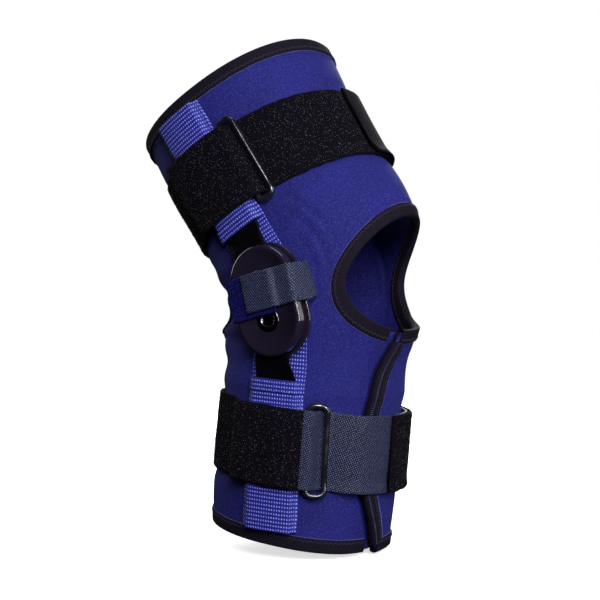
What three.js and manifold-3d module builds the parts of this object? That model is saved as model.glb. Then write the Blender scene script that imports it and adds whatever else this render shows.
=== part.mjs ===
// Hinged knee brace: a neoprene wrap with an open patella, a two-pivot hinge and side stays in ribbed
// pockets on each side, and two loop-pile straps threaded through wire rings.
// Millimetres. +X is the front of the knee, -Y the near side, +Z up. The origin is midway between the hinges.
import * as THREE from "three";
import { mergeVertices } from "three/addons/utils/BufferGeometryUtils.js";
import Module from "manifold-3d";

const wasm = await Module();
wasm.setup();

// Lengths along the limb
const THIGH_REACH = 145; // hinge centre to the top rim
const CALF_REACH = 158; // hinge centre to the bottom rim
const THIGH_LEAN = 31.5; // degrees back from upright
const CALF_LEAN = -4.5;
const BEND_LENGTH = 56; // the stretch in which the lean changes
const BACK_RISE = 9; // how far the bottom rim climbs at the back

// Hollow for the limb, front to back and side to side
const THIGH_DEPTH = 130;
const THIGH_WIDTH = 120;
const KNEE_DEPTH = 120;
const KNEE_WIDTH = 114;
const CALF_DEPTH = 107;
const CALF_WIDTH = 110;
const OVAL_POWER = 2.25; // 2 is an ellipse, more is squarer

// Cloth
const WALL = 3; // neoprene
const GAP = 0.35; // clearance between pieces that touch
const LAYER = 0.9; // clearance between curved layers of cloth
const BINDING_WIDTH = 7.4;
const BINDING_TAPE = 1.0;
const TAPE_WIDTH = 35; // side tape and pockets
const TAPE_THICKNESS = 1.1;
const POCKET_MOUTH = 50; // hinge centre to the mouth of each pocket
const STRAP_WIDTH = 50;
const STRAP_THICKNESS = 2.2;
const HOOK_THICKNESS = 1.6;
const THIGH_STRAP_AT = 87.5; // hinge centre to the strap's centre line at the side
const CALF_STRAP_AT = 89;
const STRAP_DROP = 5.5; // how much lower each strap runs at the front
const STRAP_EASE = 14; // from a pocket's edge to where a strap lies on the wrap again
const STRAP_PINCH = 1.6; // how far a strap draws the wrap in
const STRAP_FADE = 8; // from a strap's edge to where the wrap is full again
const STAY_HOLD_AT = 100; // degrees; the stays keep the wrap from being drawn in here
const STAY_HOLD = 0.5; // radians, its spread

// Creases of the wrap beside the hinge
const CREASE_DEPTH = 1.1;
const CREASE_ANGLE = 72; // degrees
const CREASE_SPREAD = 0.14; // radians
const CREASE_AT = 32; // above the hinge centre
const CREASE_REACH = 14;
const CREASE_SLANT = 26;
const CREASE_PITCH = 3.8;

// Openings in the wrap
const PATELLA_HALF_ANGLE = 59; // degrees either side of the front
const PATELLA_TOP = 20; // above and below the hinge centre, measured along the side
const PATELLA_BOTTOM = 21;
const PATELLA_FLARE = 3.5; // how far its upper lip stands off
const BACK_HALF_ANGLE = 31;
const BACK_TOP = 17;
const BACK_BOTTOM = 21;
const BACK_FLARE = 2.6;
const FLARE_REACH = 15; // along the limb, of both lips
const FLARE_SPREAD = 0.5; // radians

// Front flap of the calf cuff
const FLAP_ROOT = -46; // degrees, on the far side of the front
const FLAP_CLEAR = -12; // from here on it lies on the other panel
const FLAP_GAPE = 3.5; // how far its two corners lift
const GAPE_FULL = 28; // degrees past the front where the lift is whole
const GAPE_UPPER = 26; // along the limb, from each corner
const GAPE_LOWER = 30;

// Hinge
const PIVOT_SPACING = 23;
const COVER_WIDTH = 47;
const COVER_HEIGHT = 6;
const COVER_BEVEL = 2;
const PLATE_THICKNESS = 2;
const PLATE_MARGIN = 1.5; // how far the back plate shows beyond the cover
const STAY_WIDTH = 25;
const STAY_THICKNESS = 2.2;
const STAY_TUCK = 8; // from a stay's end to the end of its pocket
const RIVET_BORE = 4.4; // radii
const RIVET_SHANK = 5.4;
const RIVET_HEAD = 8;
const RIVET_RIM = 1.4; // thickness of the rivet's head
const RIVET_FLANGE = 1.2; // how far its back flange reaches past the shank
const RIVET_FLANGE_THICKNESS = 0.6;
const ROUND_STEPS = 10; // sides of each bore and rivet
const HINGE_TOE = 9; // degrees that each hinge turns to the back, to lie on the limb
const HOOK_TAB_WIDTH = 24;
const HOOK_TAB_AT = 6.2; // above the hinge centre
const LOOP_TAB_WIDTH = 27;
const LOOP_TAB_AT = 4.6;
const HOOK_TAB_END = -10.5; // in front of the hinge centre
const LOOP_TAB_END = 9;
const TAB_FOOT = 5.2; // how much of a tab is sewn to the wrap, under the plate's edge

// Rings
const RING_WIRE = 3.2;
const RING_LENGTH = 60; // outside
const RING_WIDTH = 13; // outside
const RING_AHEAD = 30.5; // side line to the ring's front bar
const RING_CORNER = 4;
const RING_TAB_WIDTH = 42;
const RING_TAB_TAPE = 0.9;

// Ends of the straps, in degrees past the front
const THIGH_STRAP_FROM = -48;
const THIGH_STRAP_TO = 302;
const THIGH_LAP_FROM = 297;
const LAP_END = 6.5; // where the thigh strap's end stops
const CALF_LAP_END = 9.4;

// Colours
const NAVY_NEOPRENE = { color: 0x26267a, roughness: 0.8 };
const BINDING_BLACK = { color: 0x1e1a28, roughness: 0.75 };
const WEBBING_BLUE = { color: 0x3a3fa8, roughness: 0.6 };
const PILE_BLACK = { color: 0x131118, roughness: 0.95 };
const HOOK_GREY = { color: 0x3b4258, roughness: 0.85 };
const PILE_BLUE = { color: 0x23216b, roughness: 0.95 };
const HINGE_BLACK = { color: 0x1c1620, roughness: 0.35 };
const STAY_BLACK = { color: 0x0c0a0e, roughness: 0.45, metalness: 0.6 };
const STEEL = { color: 0x8e8d96, roughness: 0.3, metalness: 1 };

const TURN = 2 * Math.PI;
const radians = THREE.MathUtils.degToRad;
const mix = THREE.MathUtils.lerp;
const smooth = (v, from, to) => THREE.MathUtils.smoothstep(v, from, to);
const bump = (v, centre, spread) => Math.exp(-(((v - centre) / spread) ** 2));

// Heights above the limb
const LAP = WALL + BINDING_TAPE + 2 * LAYER; // rise of the flap onto the panel under it
const TAPE_LOW = WALL + LAYER;
const TAPE_HIGH = TAPE_LOW + TAPE_THICKNESS;
const STAY_LOW = TAPE_HIGH + LAYER;
const STAY_HIGH = STAY_LOW + STAY_THICKNESS;
const POCKET_LOW = STAY_HIGH + LAYER;
const POCKET_HIGH = POCKET_LOW + TAPE_THICKNESS;
const WIRE = RING_WIRE / 2;
const TAB_RADIUS = WIRE + GAP + RING_TAB_TAPE;
const REAR_BAR = TAPE_LOW + TAB_RADIUS; // height of the ring's rear bar
const STRAP_LOW = TAPE_LOW;
const STRAP_OVER = Math.max(POCKET_HIGH, REAR_BAR + TAB_RADIUS, LAP + WALL + LAYER + BINDING_TAPE) + LAYER;

// Sections of the hollow. along is a share of the reach, ahead a share of the depth by which the oval's
// centre lies in front of the side line, depth and width are shares of that region's own sizes.
const CALF = { reach: CALF_REACH, depth: CALF_DEPTH, width: CALF_WIDTH };
const KNEE = { reach: 1, depth: KNEE_DEPTH, width: KNEE_WIDTH };
const THIGH = { reach: THIGH_REACH, depth: THIGH_DEPTH, width: THIGH_WIDTH };
const SECTIONS = [
  { of: CALF, along: -1.03, ahead: -0.049, depth: 0.955, width: 0.945 },
  { of: CALF, along: -0.84, ahead: -0.05, depth: 0.995, width: 0.97 },
  { of: CALF, along: -0.63, ahead: -0.043, depth: 1.0, width: 1.0 },
  { of: CALF, along: -0.41, ahead: -0.033, depth: 0.99, width: 1.015 },
  { of: CALF, along: -0.2, ahead: -0.013, depth: 0.97, width: 1.015 },
  { of: KNEE, along: 0, ahead: 0.067, depth: 1, width: 1 },
  { of: THIGH, along: 0.24, ahead: 0.12, depth: 1.0, width: 0.967 },
  { of: THIGH, along: 0.48, ahead: 0.119, depth: 0.983, width: 1.0 },
  { of: THIGH, along: 0.72, ahead: 0.122, depth: 1.0, width: 1.033 },
  { of: THIGH, along: 1.0, ahead: 0.134, depth: 1.015, width: 1.06 },
].map(({ of, along, ahead, depth, width }) => ({
  s: along * of.reach,
  ahead: ahead * of.depth,
  halfDepth: (depth * of.depth) / 2,
  halfWidth: (width * of.width) / 2,
}));

// Free edge of the flap, in degrees past the front, by share of the calf's reach
const FLAP_EDGE = [
  { along: -1.0, past: 8 },
  { along: -0.9, past: 14.5 },
  { along: -0.8, past: 21.5 },
  { along: -0.66, past: 28.5 },
  { along: -0.41, past: 24.5 },
  { along: -0.28, past: 20 },
  { along: -0.13, past: 9.5 },
].map(({ along, past }) => ({ s: along * CALF_REACH, past }));

// Smooth value of one column of a table at s
function column(table, name, s) {
  const last = table.length - 2;
  let k = table.findIndex((row) => row.s > s) - 1;
  if (k < 0) k = s < table[0].s ? 0 : last;
  const [p0, p1, p2, p3] = [Math.max(k - 1, 0), k, k + 1, Math.min(k + 2, last + 1)].map((i) => table[i]);
  const span = p2.s - p1.s;
  const u = THREE.MathUtils.clamp((s - p1.s) / span, 0, 1);
  const m1 = (span * (p2[name] - p0[name])) / (p2.s - p0.s);
  const m2 = (span * (p3[name] - p1[name])) / (p3.s - p1.s);
  const a = 2 * u ** 3 - 3 * u ** 2 + 1;
  const b = u ** 3 - 2 * u ** 2 + u;
  const c = -2 * u ** 3 + 3 * u ** 2;
  const d = u ** 3 - u ** 2;
  return a * p1[name] + b * m1 + c * p2[name] + d * m2;
}

// The limb's line through the hinges: a straight thigh, an arc and a straight calf
const BEND_RADIUS = BEND_LENGTH / radians(THIGH_LEAN - CALF_LEAN);
const MID_LEAN = radians((THIGH_LEAN + CALF_LEAN) / 2);
function limbLine(s) {
  const inBend = THREE.MathUtils.clamp(s, -BEND_LENGTH / 2, BEND_LENGTH / 2);
  const lean = MID_LEAN + inBend / BEND_RADIUS;
  const beyond = s - inBend;
  return {
    lean,
    x: BEND_RADIUS * (Math.cos(lean) - Math.cos(MID_LEAN)) - beyond * Math.sin(lean),
    z: BEND_RADIUS * (Math.sin(lean) - Math.sin(MID_LEAN)) + beyond * Math.cos(lean),
  };
}

// Raised and drawn-in places of the wrap. angle runs from the front (0) over the near side (90 degrees).
function relief(angle, s) {
  const a = Math.atan2(Math.sin(angle), Math.cos(angle));
  const behind = Math.PI - Math.abs(a);
  let rise = 0;
  for (const at of [THIGH_STRAP_AT, -CALF_STRAP_AT]) {
    const beyond = Math.abs(s - at) - STRAP_WIDTH / 2;
    rise -= STRAP_PINCH * (1 - smooth(beyond, -STRAP_FADE / 2, STRAP_FADE));
  }
  // The stays keep the wrap from being drawn in at the sides
  const side = Math.abs(a);
  rise *= 1 - bump(side, radians(STAY_HOLD_AT), STAY_HOLD);
  rise += PATELLA_FLARE * bump(s, PATELLA_TOP, FLARE_REACH) * bump(a, 0, FLARE_SPREAD);
  const lip = bump(behind, radians(BACK_HALF_ANGLE), FLARE_SPREAD);
  rise += BACK_FLARE * bump(s, -BACK_BOTTOM, FLARE_REACH) * lip;
  // Creases that run from above the hinge towards the patella opening
  const creases = bump(side, radians(CREASE_ANGLE), CREASE_SPREAD) * bump(s, CREASE_AT, CREASE_REACH);
  rise += CREASE_DEPTH * creases * Math.sin((s + CREASE_SLANT * side) / CREASE_PITCH);
  return rise;
}

// A point of the brace: angle round the limb, s along it, h out from the limb
function place(angle, s, h) {
  const ahead = column(SECTIONS, "ahead", s);
  const out = h + relief(angle, s);
  const c = Math.cos(angle);
  const d = Math.sin(angle);
  const power = 2 / OVAL_POWER;
  const x = ahead + (column(SECTIONS, "halfDepth", s) + out) * Math.sign(c) * Math.abs(c) ** power;
  const y = (column(SECTIONS, "halfWidth", s) + out) * Math.sign(d) * Math.abs(d) ** power;
  const { lean, x: lx, z: lz } = limbLine(s);
  return new THREE.Vector3(lx + x * Math.cos(lean), -y, lz + x * Math.sin(lean));
}

// Millimetres on the wrap for one radian of angle, and for one millimetre of s, which the bend stretches
function spread(angle, s) {
  const turn = 0.04;
  const run = 4;
  const round = place(angle + turn, s, WALL).distanceTo(place(angle - turn, s, WALL)) / (2 * turn);
  const rise = place(angle, s + run, WALL).distanceTo(place(angle, s - run, WALL)) / (2 * run);
  return { round, rise };
}

// The angle on the near side (side = 1) or far side (-1) that lies x mm in front of the side line
function sideAngle(x, s, side) {
  const rel = (x - column(SECTIONS, "ahead", s)) / (column(SECTIONS, "halfDepth", s) + WALL);
  const c = Math.sign(rel) * Math.min(1, Math.abs(rel)) ** (OVAL_POWER / 2);
  return side * Math.acos(c);
}

const range = (count, from, to) =>
  Array.from({ length: count + 1 }, (_, i) => mix(from, to, i / count));

// A closed geometry from points and triangles, turned to face out
function closedShell(points, triangles) {
  let volume = 0;
  for (const [a, b, c] of triangles) {
    volume += points[a].dot(new THREE.Vector3().crossVectors(points[b], points[c]));
  }
  const faces = volume < 0 ? triangles.map(([a, b, c]) => [a, c, b]) : triangles;
  const geometry = new THREE.BufferGeometry();
  geometry.setAttribute("position", new THREE.Float32BufferAttribute(points.flatMap((p) => p.toArray()), 3));
  geometry.setIndex(faces.flat());
  return geometry;
}

// Triangles, turned anticlockwise, that fill a flat outline
function fill(outline) {
  const flat = outline.map(([x, y]) => new THREE.Vector2(x, y));
  const turned = THREE.ShapeUtils.isClockWise(flat);
  const triangles = THREE.ShapeUtils.triangulateShape(flat, []);
  return turned ? triangles : triangles.map(([a, b, c]) => [a, c, b]);
}

// Rings of equal point count joined in order. An open run is closed at both ends by the triangles in cap.
function loft(rings, cap) {
  const n = rings[0].length;
  const points = rings.flat();
  const triangles = [];
  const spans = cap ? rings.length - 1 : rings.length;
  for (let i = 0; i < spans; i++) {
    const low = i * n;
    const high = ((i + 1) % rings.length) * n;
    for (let j = 0; j < n; j++) {
      const k = (j + 1) % n;
      triangles.push([low + j, low + k, high + k], [low + j, high + k, high + j]);
    }
  }
  if (cap) {
    const end = (rings.length - 1) * n;
    for (const [a, b, c] of cap) triangles.push([a, b, c], [end + a, end + c, end + b]);
  }
  return closedShell(points, triangles);
}

// A layer of cloth: at(u, v) gives the angle, s and the two heights of its faces; columns run along u
function layer(us, vs, at) {
  const cap = us.slice(1).flatMap((_, i) => {
    const over = 2 * us.length - 1 - i;
    return [
      [i, over, i + 1],
      [i + 1, over, over - 1],
    ];
  });
  const rings = vs.map((v) => {
    const spots = us.map((u) => at(u, v));
    const inner = spots.map(({ angle, s, low }) => place(angle, s, low));
    const outer = spots.map(({ angle, s, high }) => place(angle, s, high));
    return [...inner, ...outer.reverse()];
  });
  return loft(rings, cap);
}

function solidOf(geometry) {
  const bare = new THREE.BufferGeometry();
  bare.setAttribute("position", geometry.getAttribute("position"));
  bare.setIndex(geometry.index);
  const merged = mergeVertices(bare, 1e-4);
  const vertProperties = new Float32Array(merged.getAttribute("position").array);
  const triVerts = new Uint32Array(merged.index.array);
  return new wasm.Manifold(new wasm.Mesh({ numProp: 3, vertProperties, triVerts }));
}

function geometryOf(solid) {
  const mesh = solid.getMesh();
  const geometry = new THREE.BufferGeometry();
  const positions = [];
  for (let i = 0; i < mesh.numVert; i++) {
    positions.push(...mesh.vertProperties.subarray(i * mesh.numProp, i * mesh.numProp + 3));
  }
  geometry.setAttribute("position", new THREE.Float32BufferAttribute(positions, 3));
  geometry.setIndex([...mesh.triVerts]);
  return geometry;
}

const cut = (geometry, ...cutters) =>
  geometryOf(cutters.reduce((left, cutter) => left.subtract(solidOf(cutter)), solidOf(geometry)));

const brace = new THREE.Group();
function add(name, geometry, finish) {
  const mesh = new THREE.Mesh(geometry, new THREE.MeshStandardMaterial(finish));
  mesh.name = name;
  brace.add(mesh);
}

// Rims and openings of the wrap, each a path of angle and s
const rimDrop = (angle) => -CALF_REACH + BACK_RISE * (0.5 - 0.5 * Math.cos(angle));
const flapPast = (s) => radians(column(FLAP_EDGE, "past", s));
const RIM_STEPS = 32;
const PATELLA_STEPS = 23;
const BACK_STEPS = 20;
const FLAP_ROWS = range(10, 0, 1);
const FLAP_COLUMNS = 8;
const BESIDE = radians(6); // from the flap's edge to where the lower panel's binding starts

function ovalPath(centreAngle, halfAngle, top, bottom) {
  return (t) => {
    const up = Math.sin(t);
    return {
      angle: centreAngle + radians(halfAngle) * Math.cos(t),
      s: up > 0 ? up * top : up * bottom,
    };
  };
}
const patellaEdge = (angle) =>
  -PATELLA_BOTTOM * Math.sqrt(1 - (angle / radians(PATELLA_HALF_ANGLE)) ** 2);
const patella = ovalPath(0, PATELLA_HALF_ANGLE, PATELLA_TOP, PATELLA_BOTTOM);
const backHole = ovalPath(Math.PI, BACK_HALF_ANGLE, BACK_TOP, BACK_BOTTOM);

// How far a turn has climbed from one panel of the calf cuff onto the other; turns count on past a circle
const LAP_FOOT = radians(FLAP_ROOT + 3);
const lapShare = (turn) => smooth(turn - TURN, LAP_FOOT, radians(FLAP_CLEAR));
const liftOf = (turn, s) => {
  const past = THREE.MathUtils.clamp((turn - TURN) / radians(GAPE_FULL), 0, 1);
  const ends = bump(s, -PATELLA_BOTTOM, GAPE_UPPER) + bump(s, -CALF_REACH, GAPE_LOWER);
  return LAP * lapShare(turn) + FLAP_GAPE * past ** 2 * ends;
};

// A spot of the flap: u from its root to its free edge, v from the lower rim to the patella opening
function onFlap(u, v) {
  const past = flapPast(mix(-CALF_REACH, -PATELLA_BOTTOM, v));
  const turn = TURN + mix(radians(FLAP_ROOT), past, u);
  const s = mix(rimDrop(turn), patellaEdge(turn - TURN), v);
  return { turn, s, lift: liftOf(turn, s) };
}

// Round the patella opening from the near panel, beside the flap's corner, to that corner
const patellaTime = (turn) => 1.5 * Math.PI + Math.asin(turn / radians(PATELLA_HALF_ANGLE));
const UPPER_CORNER = flapPast(-PATELLA_BOTTOM);
const flapTop = range(FLAP_COLUMNS, radians(FLAP_ROOT), UPPER_CORNER).map(patellaTime);
const patellaRun = [
  ...range(PATELLA_STEPS, patellaTime(UPPER_CORNER + BESIDE) - TURN, flapTop[0]).slice(0, -1),
  ...flapTop,
];
const backRun = range(BACK_STEPS, 0, TURN).slice(0, -1);

// Plug through the wrap that leaves an opening with the outline path(t), t in ts
function plug(path, centreAngle, ts) {
  const shares = [1 / 4, 1 / 2, 3 / 4, 1];
  const reach = 12;
  const rim = ts.map(path);
  const ring = (share, h) => rim.map(({ angle, s }) => place(mix(centreAngle, angle, share), s * share, h));
  const rings = [
    ...shares.map((share) => ring(share, -reach)),
    ring(1, -1),
    ring(1, WALL + 1),
    ...shares.reverse().map((share) => ring(share, WALL + reach)),
  ];
  return loft(rings, fill(rim.map(({ angle, s }) => [angle - centreAngle, s / CALF_REACH])));
}

// The wrap: a tube with two openings and a slit down the front of the calf, and the flap that closes it
function buildSleeve() {
  const turns = range(RIM_STEPS, 0, TURN).slice(0, -1);
  const levels = [-1, -0.88, -0.7, -0.56, -0.41, -0.29].map((share) => share * CALF_REACH);
  levels.push(...range(8, -0.18 * CALF_REACH, 0.31 * THIGH_REACH));
  levels.push(...[0.44, 0.6, 0.78, 1].map((share) => share * THIGH_REACH));
  const rings = levels.map((s, i) => turns.map((angle) => ({ angle, s: i ? s : rimDrop(angle) })));
  const skin = (h) => rings.map((ring) => ring.map(({ angle, s }) => place(angle, s, h)));
  const tube = loft([...skin(0), ...skin(WALL).reverse()], null);
  const slit = layer(
    range(4, LAP_FOOT, radians(FLAP_CLEAR + 1)),
    range(5, -CALF_REACH - 20, -PATELLA_BOTTOM + 6),
    (angle, s) => ({ angle, s, low: -8, high: WALL + 8 }),
  );
  const flap = layer(range(FLAP_COLUMNS, 0, 1), FLAP_ROWS, (u, v) => {
    const { turn, s, lift } = onFlap(u, v);
    const inset = u === 0 ? 0.1 : 0;
    return { angle: turn, s, low: lift + inset, high: lift + WALL - inset };
  });
  const open = cut(tube, plug(patella, 0, patellaRun), plug(backHole, Math.PI, backRun), slit);
  return geometryOf(solidOf(open).add(solidOf(flap)));
}

// Folded tape round a cut edge. path(t) gives the edge; inward is +1 where the cloth lies to its left.
function buildBinding({ path, ts, closed, inward }) {
  const leg = BINDING_TAPE;
  const out = -GAP - leg;
  const fold = [
    [out, -LAYER - leg],
    [BINDING_WIDTH, -LAYER - leg],
    [BINDING_WIDTH, -LAYER],
    [-GAP, -LAYER],
    [-GAP, WALL + LAYER],
    [BINDING_WIDTH, WALL + LAYER],
    [BINDING_WIDTH, WALL + LAYER + leg],
    [out, WALL + LAYER + leg],
  ];
  const rings = ts.map((t) => {
    const spot = path(t);
    const step = 1e-3;
    const [a, b] = [path(t - step), path(t + step)];
    const { round, rise } = spread(spot.angle, spot.s);
    const along = new THREE.Vector2((b.angle - a.angle) * round, (b.s - a.s) * rise).normalize();
    const [px, py] = [-along.y * inward, along.x * inward];
    const lift = spot.lift ?? 0;
    return fold.map(([across, h]) =>
      place(spot.angle + (across * px) / round, spot.s + (across * py) / rise, lift + h),
    );
  });
  return loft(rings, closed ? null : fill(fold));
}

// The edges that carry a binding
function boundEdges() {
  const around = range(RIM_STEPS, 0, TURN).slice(0, -1);
  const topPath = (t) => ({ angle: t, s: THIGH_REACH });

  // From the near panel, beside the flap's edge, round the brace and up onto the flap
  const lowerPath = (t) => ({ angle: t, s: rimDrop(t), lift: liftOf(t, -CALF_REACH) });
  const corner = flapPast(-CALF_REACH);
  const lapStart = TURN + radians(FLAP_ROOT);
  const lowerRun = [
    ...range(RIM_STEPS - 6, corner + BESIDE, lapStart).slice(0, -1),
    ...range(FLAP_COLUMNS, lapStart, TURN + corner),
  ];

  const patellaPath = (t) => {
    const spot = patella(t);
    return { ...spot, lift: t > Math.PI ? liftOf(spot.angle + TURN, spot.s) : 0 };
  };
  const flapPath = (v) => {
    const { turn, s, lift } = onFlap(1, v);
    return { angle: turn, s, lift };
  };
  return {
    top_binding: { path: topPath, ts: around, closed: true, inward: -1 },
    popliteal_binding: { path: backHole, ts: backRun, closed: true, inward: -1 },
    bottom_binding: { path: lowerPath, ts: lowerRun, closed: false, inward: 1 },
    patella_binding: { path: patellaPath, ts: patellaRun, closed: false, inward: -1 },
    flap_binding: {
      path: flapPath,
      ts: FLAP_ROWS.slice(1, -1),
      closed: false,
      inward: 1,
    },
  };
}

// Tape up each side, and the pockets on it that hold the stays
function addSideTapes(side, label) {
  const half = TAPE_WIDTH / 2;
  const ends = BINDING_WIDTH + 1;
  const [bottom, top] = [rimDrop(Math.PI / 2) + ends, THIGH_REACH - ends];
  const tape = layer(range(4, -half, half), range(15, bottom, top), (x, s) => ({
    angle: sideAngle(x, s, side),
    s,
    low: TAPE_LOW,
    high: TAPE_HIGH,
  }));
  add("side_tape_" + label, tape, WEBBING_BLUE);

  const shoulder = STAY_WIDTH / 2 + 0.8;
  const across = [-half, -shoulder - 2, -shoulder, -shoulder / 3, shoulder / 3, shoulder, shoulder + 2, half];
  const pocket = (from, to) =>
    layer(across, range(5, from, to), (x, s) => {
      const raised = Math.abs(x) <= shoulder;
      const low = raised ? POCKET_LOW : TAPE_HIGH + 0.5;
      return { angle: sideAngle(x, s, side), s, low, high: low + TAPE_THICKNESS };
    });
  add("pocket_thigh_" + label, pocket(POCKET_MOUTH, top), WEBBING_BLUE);
  add("pocket_calf_" + label, pocket(bottom, -POCKET_MOUTH), WEBBING_BLUE);
}

// Frame of the hinge on one side: axes ahead, along and outwards, and the centre of its back face, which
// stands clear of the wrap and the tape under the whole back plate
function hingeFrame(side) {
  const forward = new THREE.Vector3(Math.cos(MID_LEAN), 0, Math.sin(MID_LEAN));
  const along = new THREE.Vector3(-Math.sin(MID_LEAN), 0, Math.cos(MID_LEAN));
  const out = new THREE.Vector3(0, -side, 0);
  const toe = radians(HINGE_TOE);
  const ahead = forward.clone().multiplyScalar(Math.cos(toe)).addScaledVector(out, Math.sin(toe));
  const normal = out.clone().multiplyScalar(Math.cos(toe)).addScaledVector(forward, -Math.sin(toe));
  const centre = place(sideAngle(0, 0, side), 0, TAPE_HIGH);
  const radius = COVER_WIDTH / 2 + PLATE_MARGIN;
  let highest = 0;
  for (const s of range(10, -radius - PIVOT_SPACING / 2, radius + PIVOT_SPACING / 2)) {
    for (const x of range(8, -radius, radius)) {
      const h = Math.abs(x) < TAPE_WIDTH / 2 + 2 ? TAPE_HIGH : WALL;
      const spot = place(sideAngle(x, s, side), s, h).sub(centre);
      const past = Math.max(Math.abs(spot.dot(along)) - PIVOT_SPACING / 2, 0);
      if (Math.hypot(spot.dot(ahead), past) < radius) highest = Math.max(highest, spot.dot(normal));
    }
  }
  centre.addScaledVector(normal, highest + GAP);
  const at = (p, q, w) =>
    centre.clone().addScaledVector(ahead, p).addScaledVector(along, q).addScaledVector(normal, w);
  return { at };
}

const PLATE_TOP = PLATE_THICKNESS;
const BAR_LOW = PLATE_TOP + GAP;
const BAR_HIGH = BAR_LOW + STAY_THICKNESS;
const COVER_LOW = BAR_HIGH + GAP;
const COVER_TOP = COVER_LOW + COVER_HEIGHT;
const SHANK_HOLE = RIVET_SHANK + GAP;

// A stay: a round-ended bar from its pivot, flat in the hinge and then shaped to the limb
function buildStay(side, up) {
  const frame = hingeFrame(side);
  const pivot = (up * PIVOT_SPACING) / 2;
  const reach = (up > 0 ? THIGH_REACH : -rimDrop(Math.PI / 2)) - BINDING_WIDTH - 1 - STAY_TUCK;
  const turn = radians(THIGH_LEAN - CALF_LEAN) / 2;
  const eye = PIVOT_SPACING / 2 - GAP;
  const runs = [...range(3, -eye, 0), 9, 25, 30, 35, 40, ...range(4, 50, reach - PIVOT_SPACING / 2)];
  const halfAt = (t) => {
    if (t < 0) return Math.max(Math.sqrt(eye ** 2 - t ** 2), 1.5);
    return mix(eye, STAY_WIDTH / 2, smooth(t, 0, 9));
  };
  const rings = runs.map((t) => {
    const s = up * (PIVOT_SPACING / 2 + t);
    const onLimb = smooth(t, 25, 40);
    const spot = (x, w, h) => {
      const p = x * Math.cos(turn) - t * Math.sin(turn);
      const q = pivot + up * (t * Math.cos(turn) + x * Math.sin(turn));
      return frame.at(p, q, w).lerp(place(sideAngle(x, s, side), s, h), onLimb);
    };
    const xs = [-1, 0, 1].map((share) => share * halfAt(t));
    const inner = xs.map((x) => spot(x, BAR_LOW, STAY_LOW));
    return [...inner, ...xs.map((x) => spot(x, BAR_HIGH, STAY_HIGH)).reverse()];
  });
  const end = fill(rings[0].map((_, i) => (i < 3 ? [i, 0] : [5 - i, 1])));
  return cut(loft(rings, end), hingeBore(frame, pivot, SHANK_HOLE, -5, COVER_TOP));
}

// Round cutter on a pivot of a hinge, from one height to another
function hingeBore(frame, pivot, radius, from, to) {
  const circle = range(ROUND_STEPS, 0, TURN).slice(0, -1);
  const rings = [from, to].map((w) =>
    circle.map((t) => frame.at(radius * Math.cos(t), pivot + radius * Math.sin(t), w)),
  );
  return loft(rings, fill(circle.map((t) => [Math.cos(t), Math.sin(t)])));
}

// Outline of the hinge with a margin round its two pivots
function stadium(radius) {
  const arc = range(8, 0, Math.PI);
  const end = (up) => arc.map((t) => [
    up * radius * Math.cos(t),
    up * (radius * Math.sin(t) + PIVOT_SPACING / 2),
  ]);
  return [...end(1), ...end(-1)];
}

function hingeSlab(frame, levels) {
  const rings = levels.map(([w, radius]) => stadium(radius).map(([p, q]) => frame.at(p, q, w)));
  return loft(rings, fill(stadium(COVER_WIDTH / 2)));
}

function addHinge(side, label) {
  const frame = hingeFrame(side);
  const pivots = [PIVOT_SPACING / 2, -PIVOT_SPACING / 2];
  const radius = COVER_WIDTH / 2;
  const bores = pivots.map((q) => hingeBore(frame, q, SHANK_HOLE, -5, COVER_TOP + 5));
  const headFloor = COVER_TOP - RIVET_RIM - GAP;
  const seats = pivots.map((q) => hingeBore(frame, q, RIVET_HEAD + GAP, headFloor, COVER_TOP + 5));
  const plate = hingeSlab(frame, [
    [0, radius + PLATE_MARGIN],
    [PLATE_TOP, radius + PLATE_MARGIN],
  ]);
  const cover = hingeSlab(frame, [
    [COVER_LOW, radius],
    [COVER_TOP - COVER_BEVEL, radius],
    [COVER_TOP, radius - COVER_BEVEL],
  ]);
  add("hinge_plate_" + label, cut(plate, ...bores), HINGE_BLACK);
  add("hinge_cover_" + label, cut(cover, ...bores, ...seats), HINGE_BLACK);
  pivots.forEach((q, i) => {
    const name = "rivet_" + (i ? "calf_" : "thigh_") + label;
    add(name, buildRivet(frame, q), STEEL);
  });
  add("stay_thigh_" + label, buildStay(side, 1), STAY_BLACK);
  add("stay_calf_" + label, buildStay(side, -1), STAY_BLACK);
}

// Tubular rivet with a head sunk flush in the cover and a flange behind the plate
function buildRivet(frame, pivot) {
  const flange = RIVET_SHANK + RIVET_FLANGE;
  const back = -GAP - RIVET_FLANGE_THICKNESS;
  const head = COVER_TOP - RIVET_RIM;
  const profile = [
    [RIVET_BORE, back],
    [flange, back],
    [flange, -GAP],
    [RIVET_SHANK, -GAP],
    [RIVET_SHANK, head],
    [RIVET_HEAD, head],
    [RIVET_HEAD, COVER_TOP],
    [RIVET_BORE, COVER_TOP],
  ];
  const rings = range(ROUND_STEPS, 0, TURN)
    .slice(0, -1)
    .map((t) => profile.map(([r, w]) => frame.at(r * Math.cos(t), pivot + r * Math.sin(t), w)));
  return loft(rings, null);
}

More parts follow.
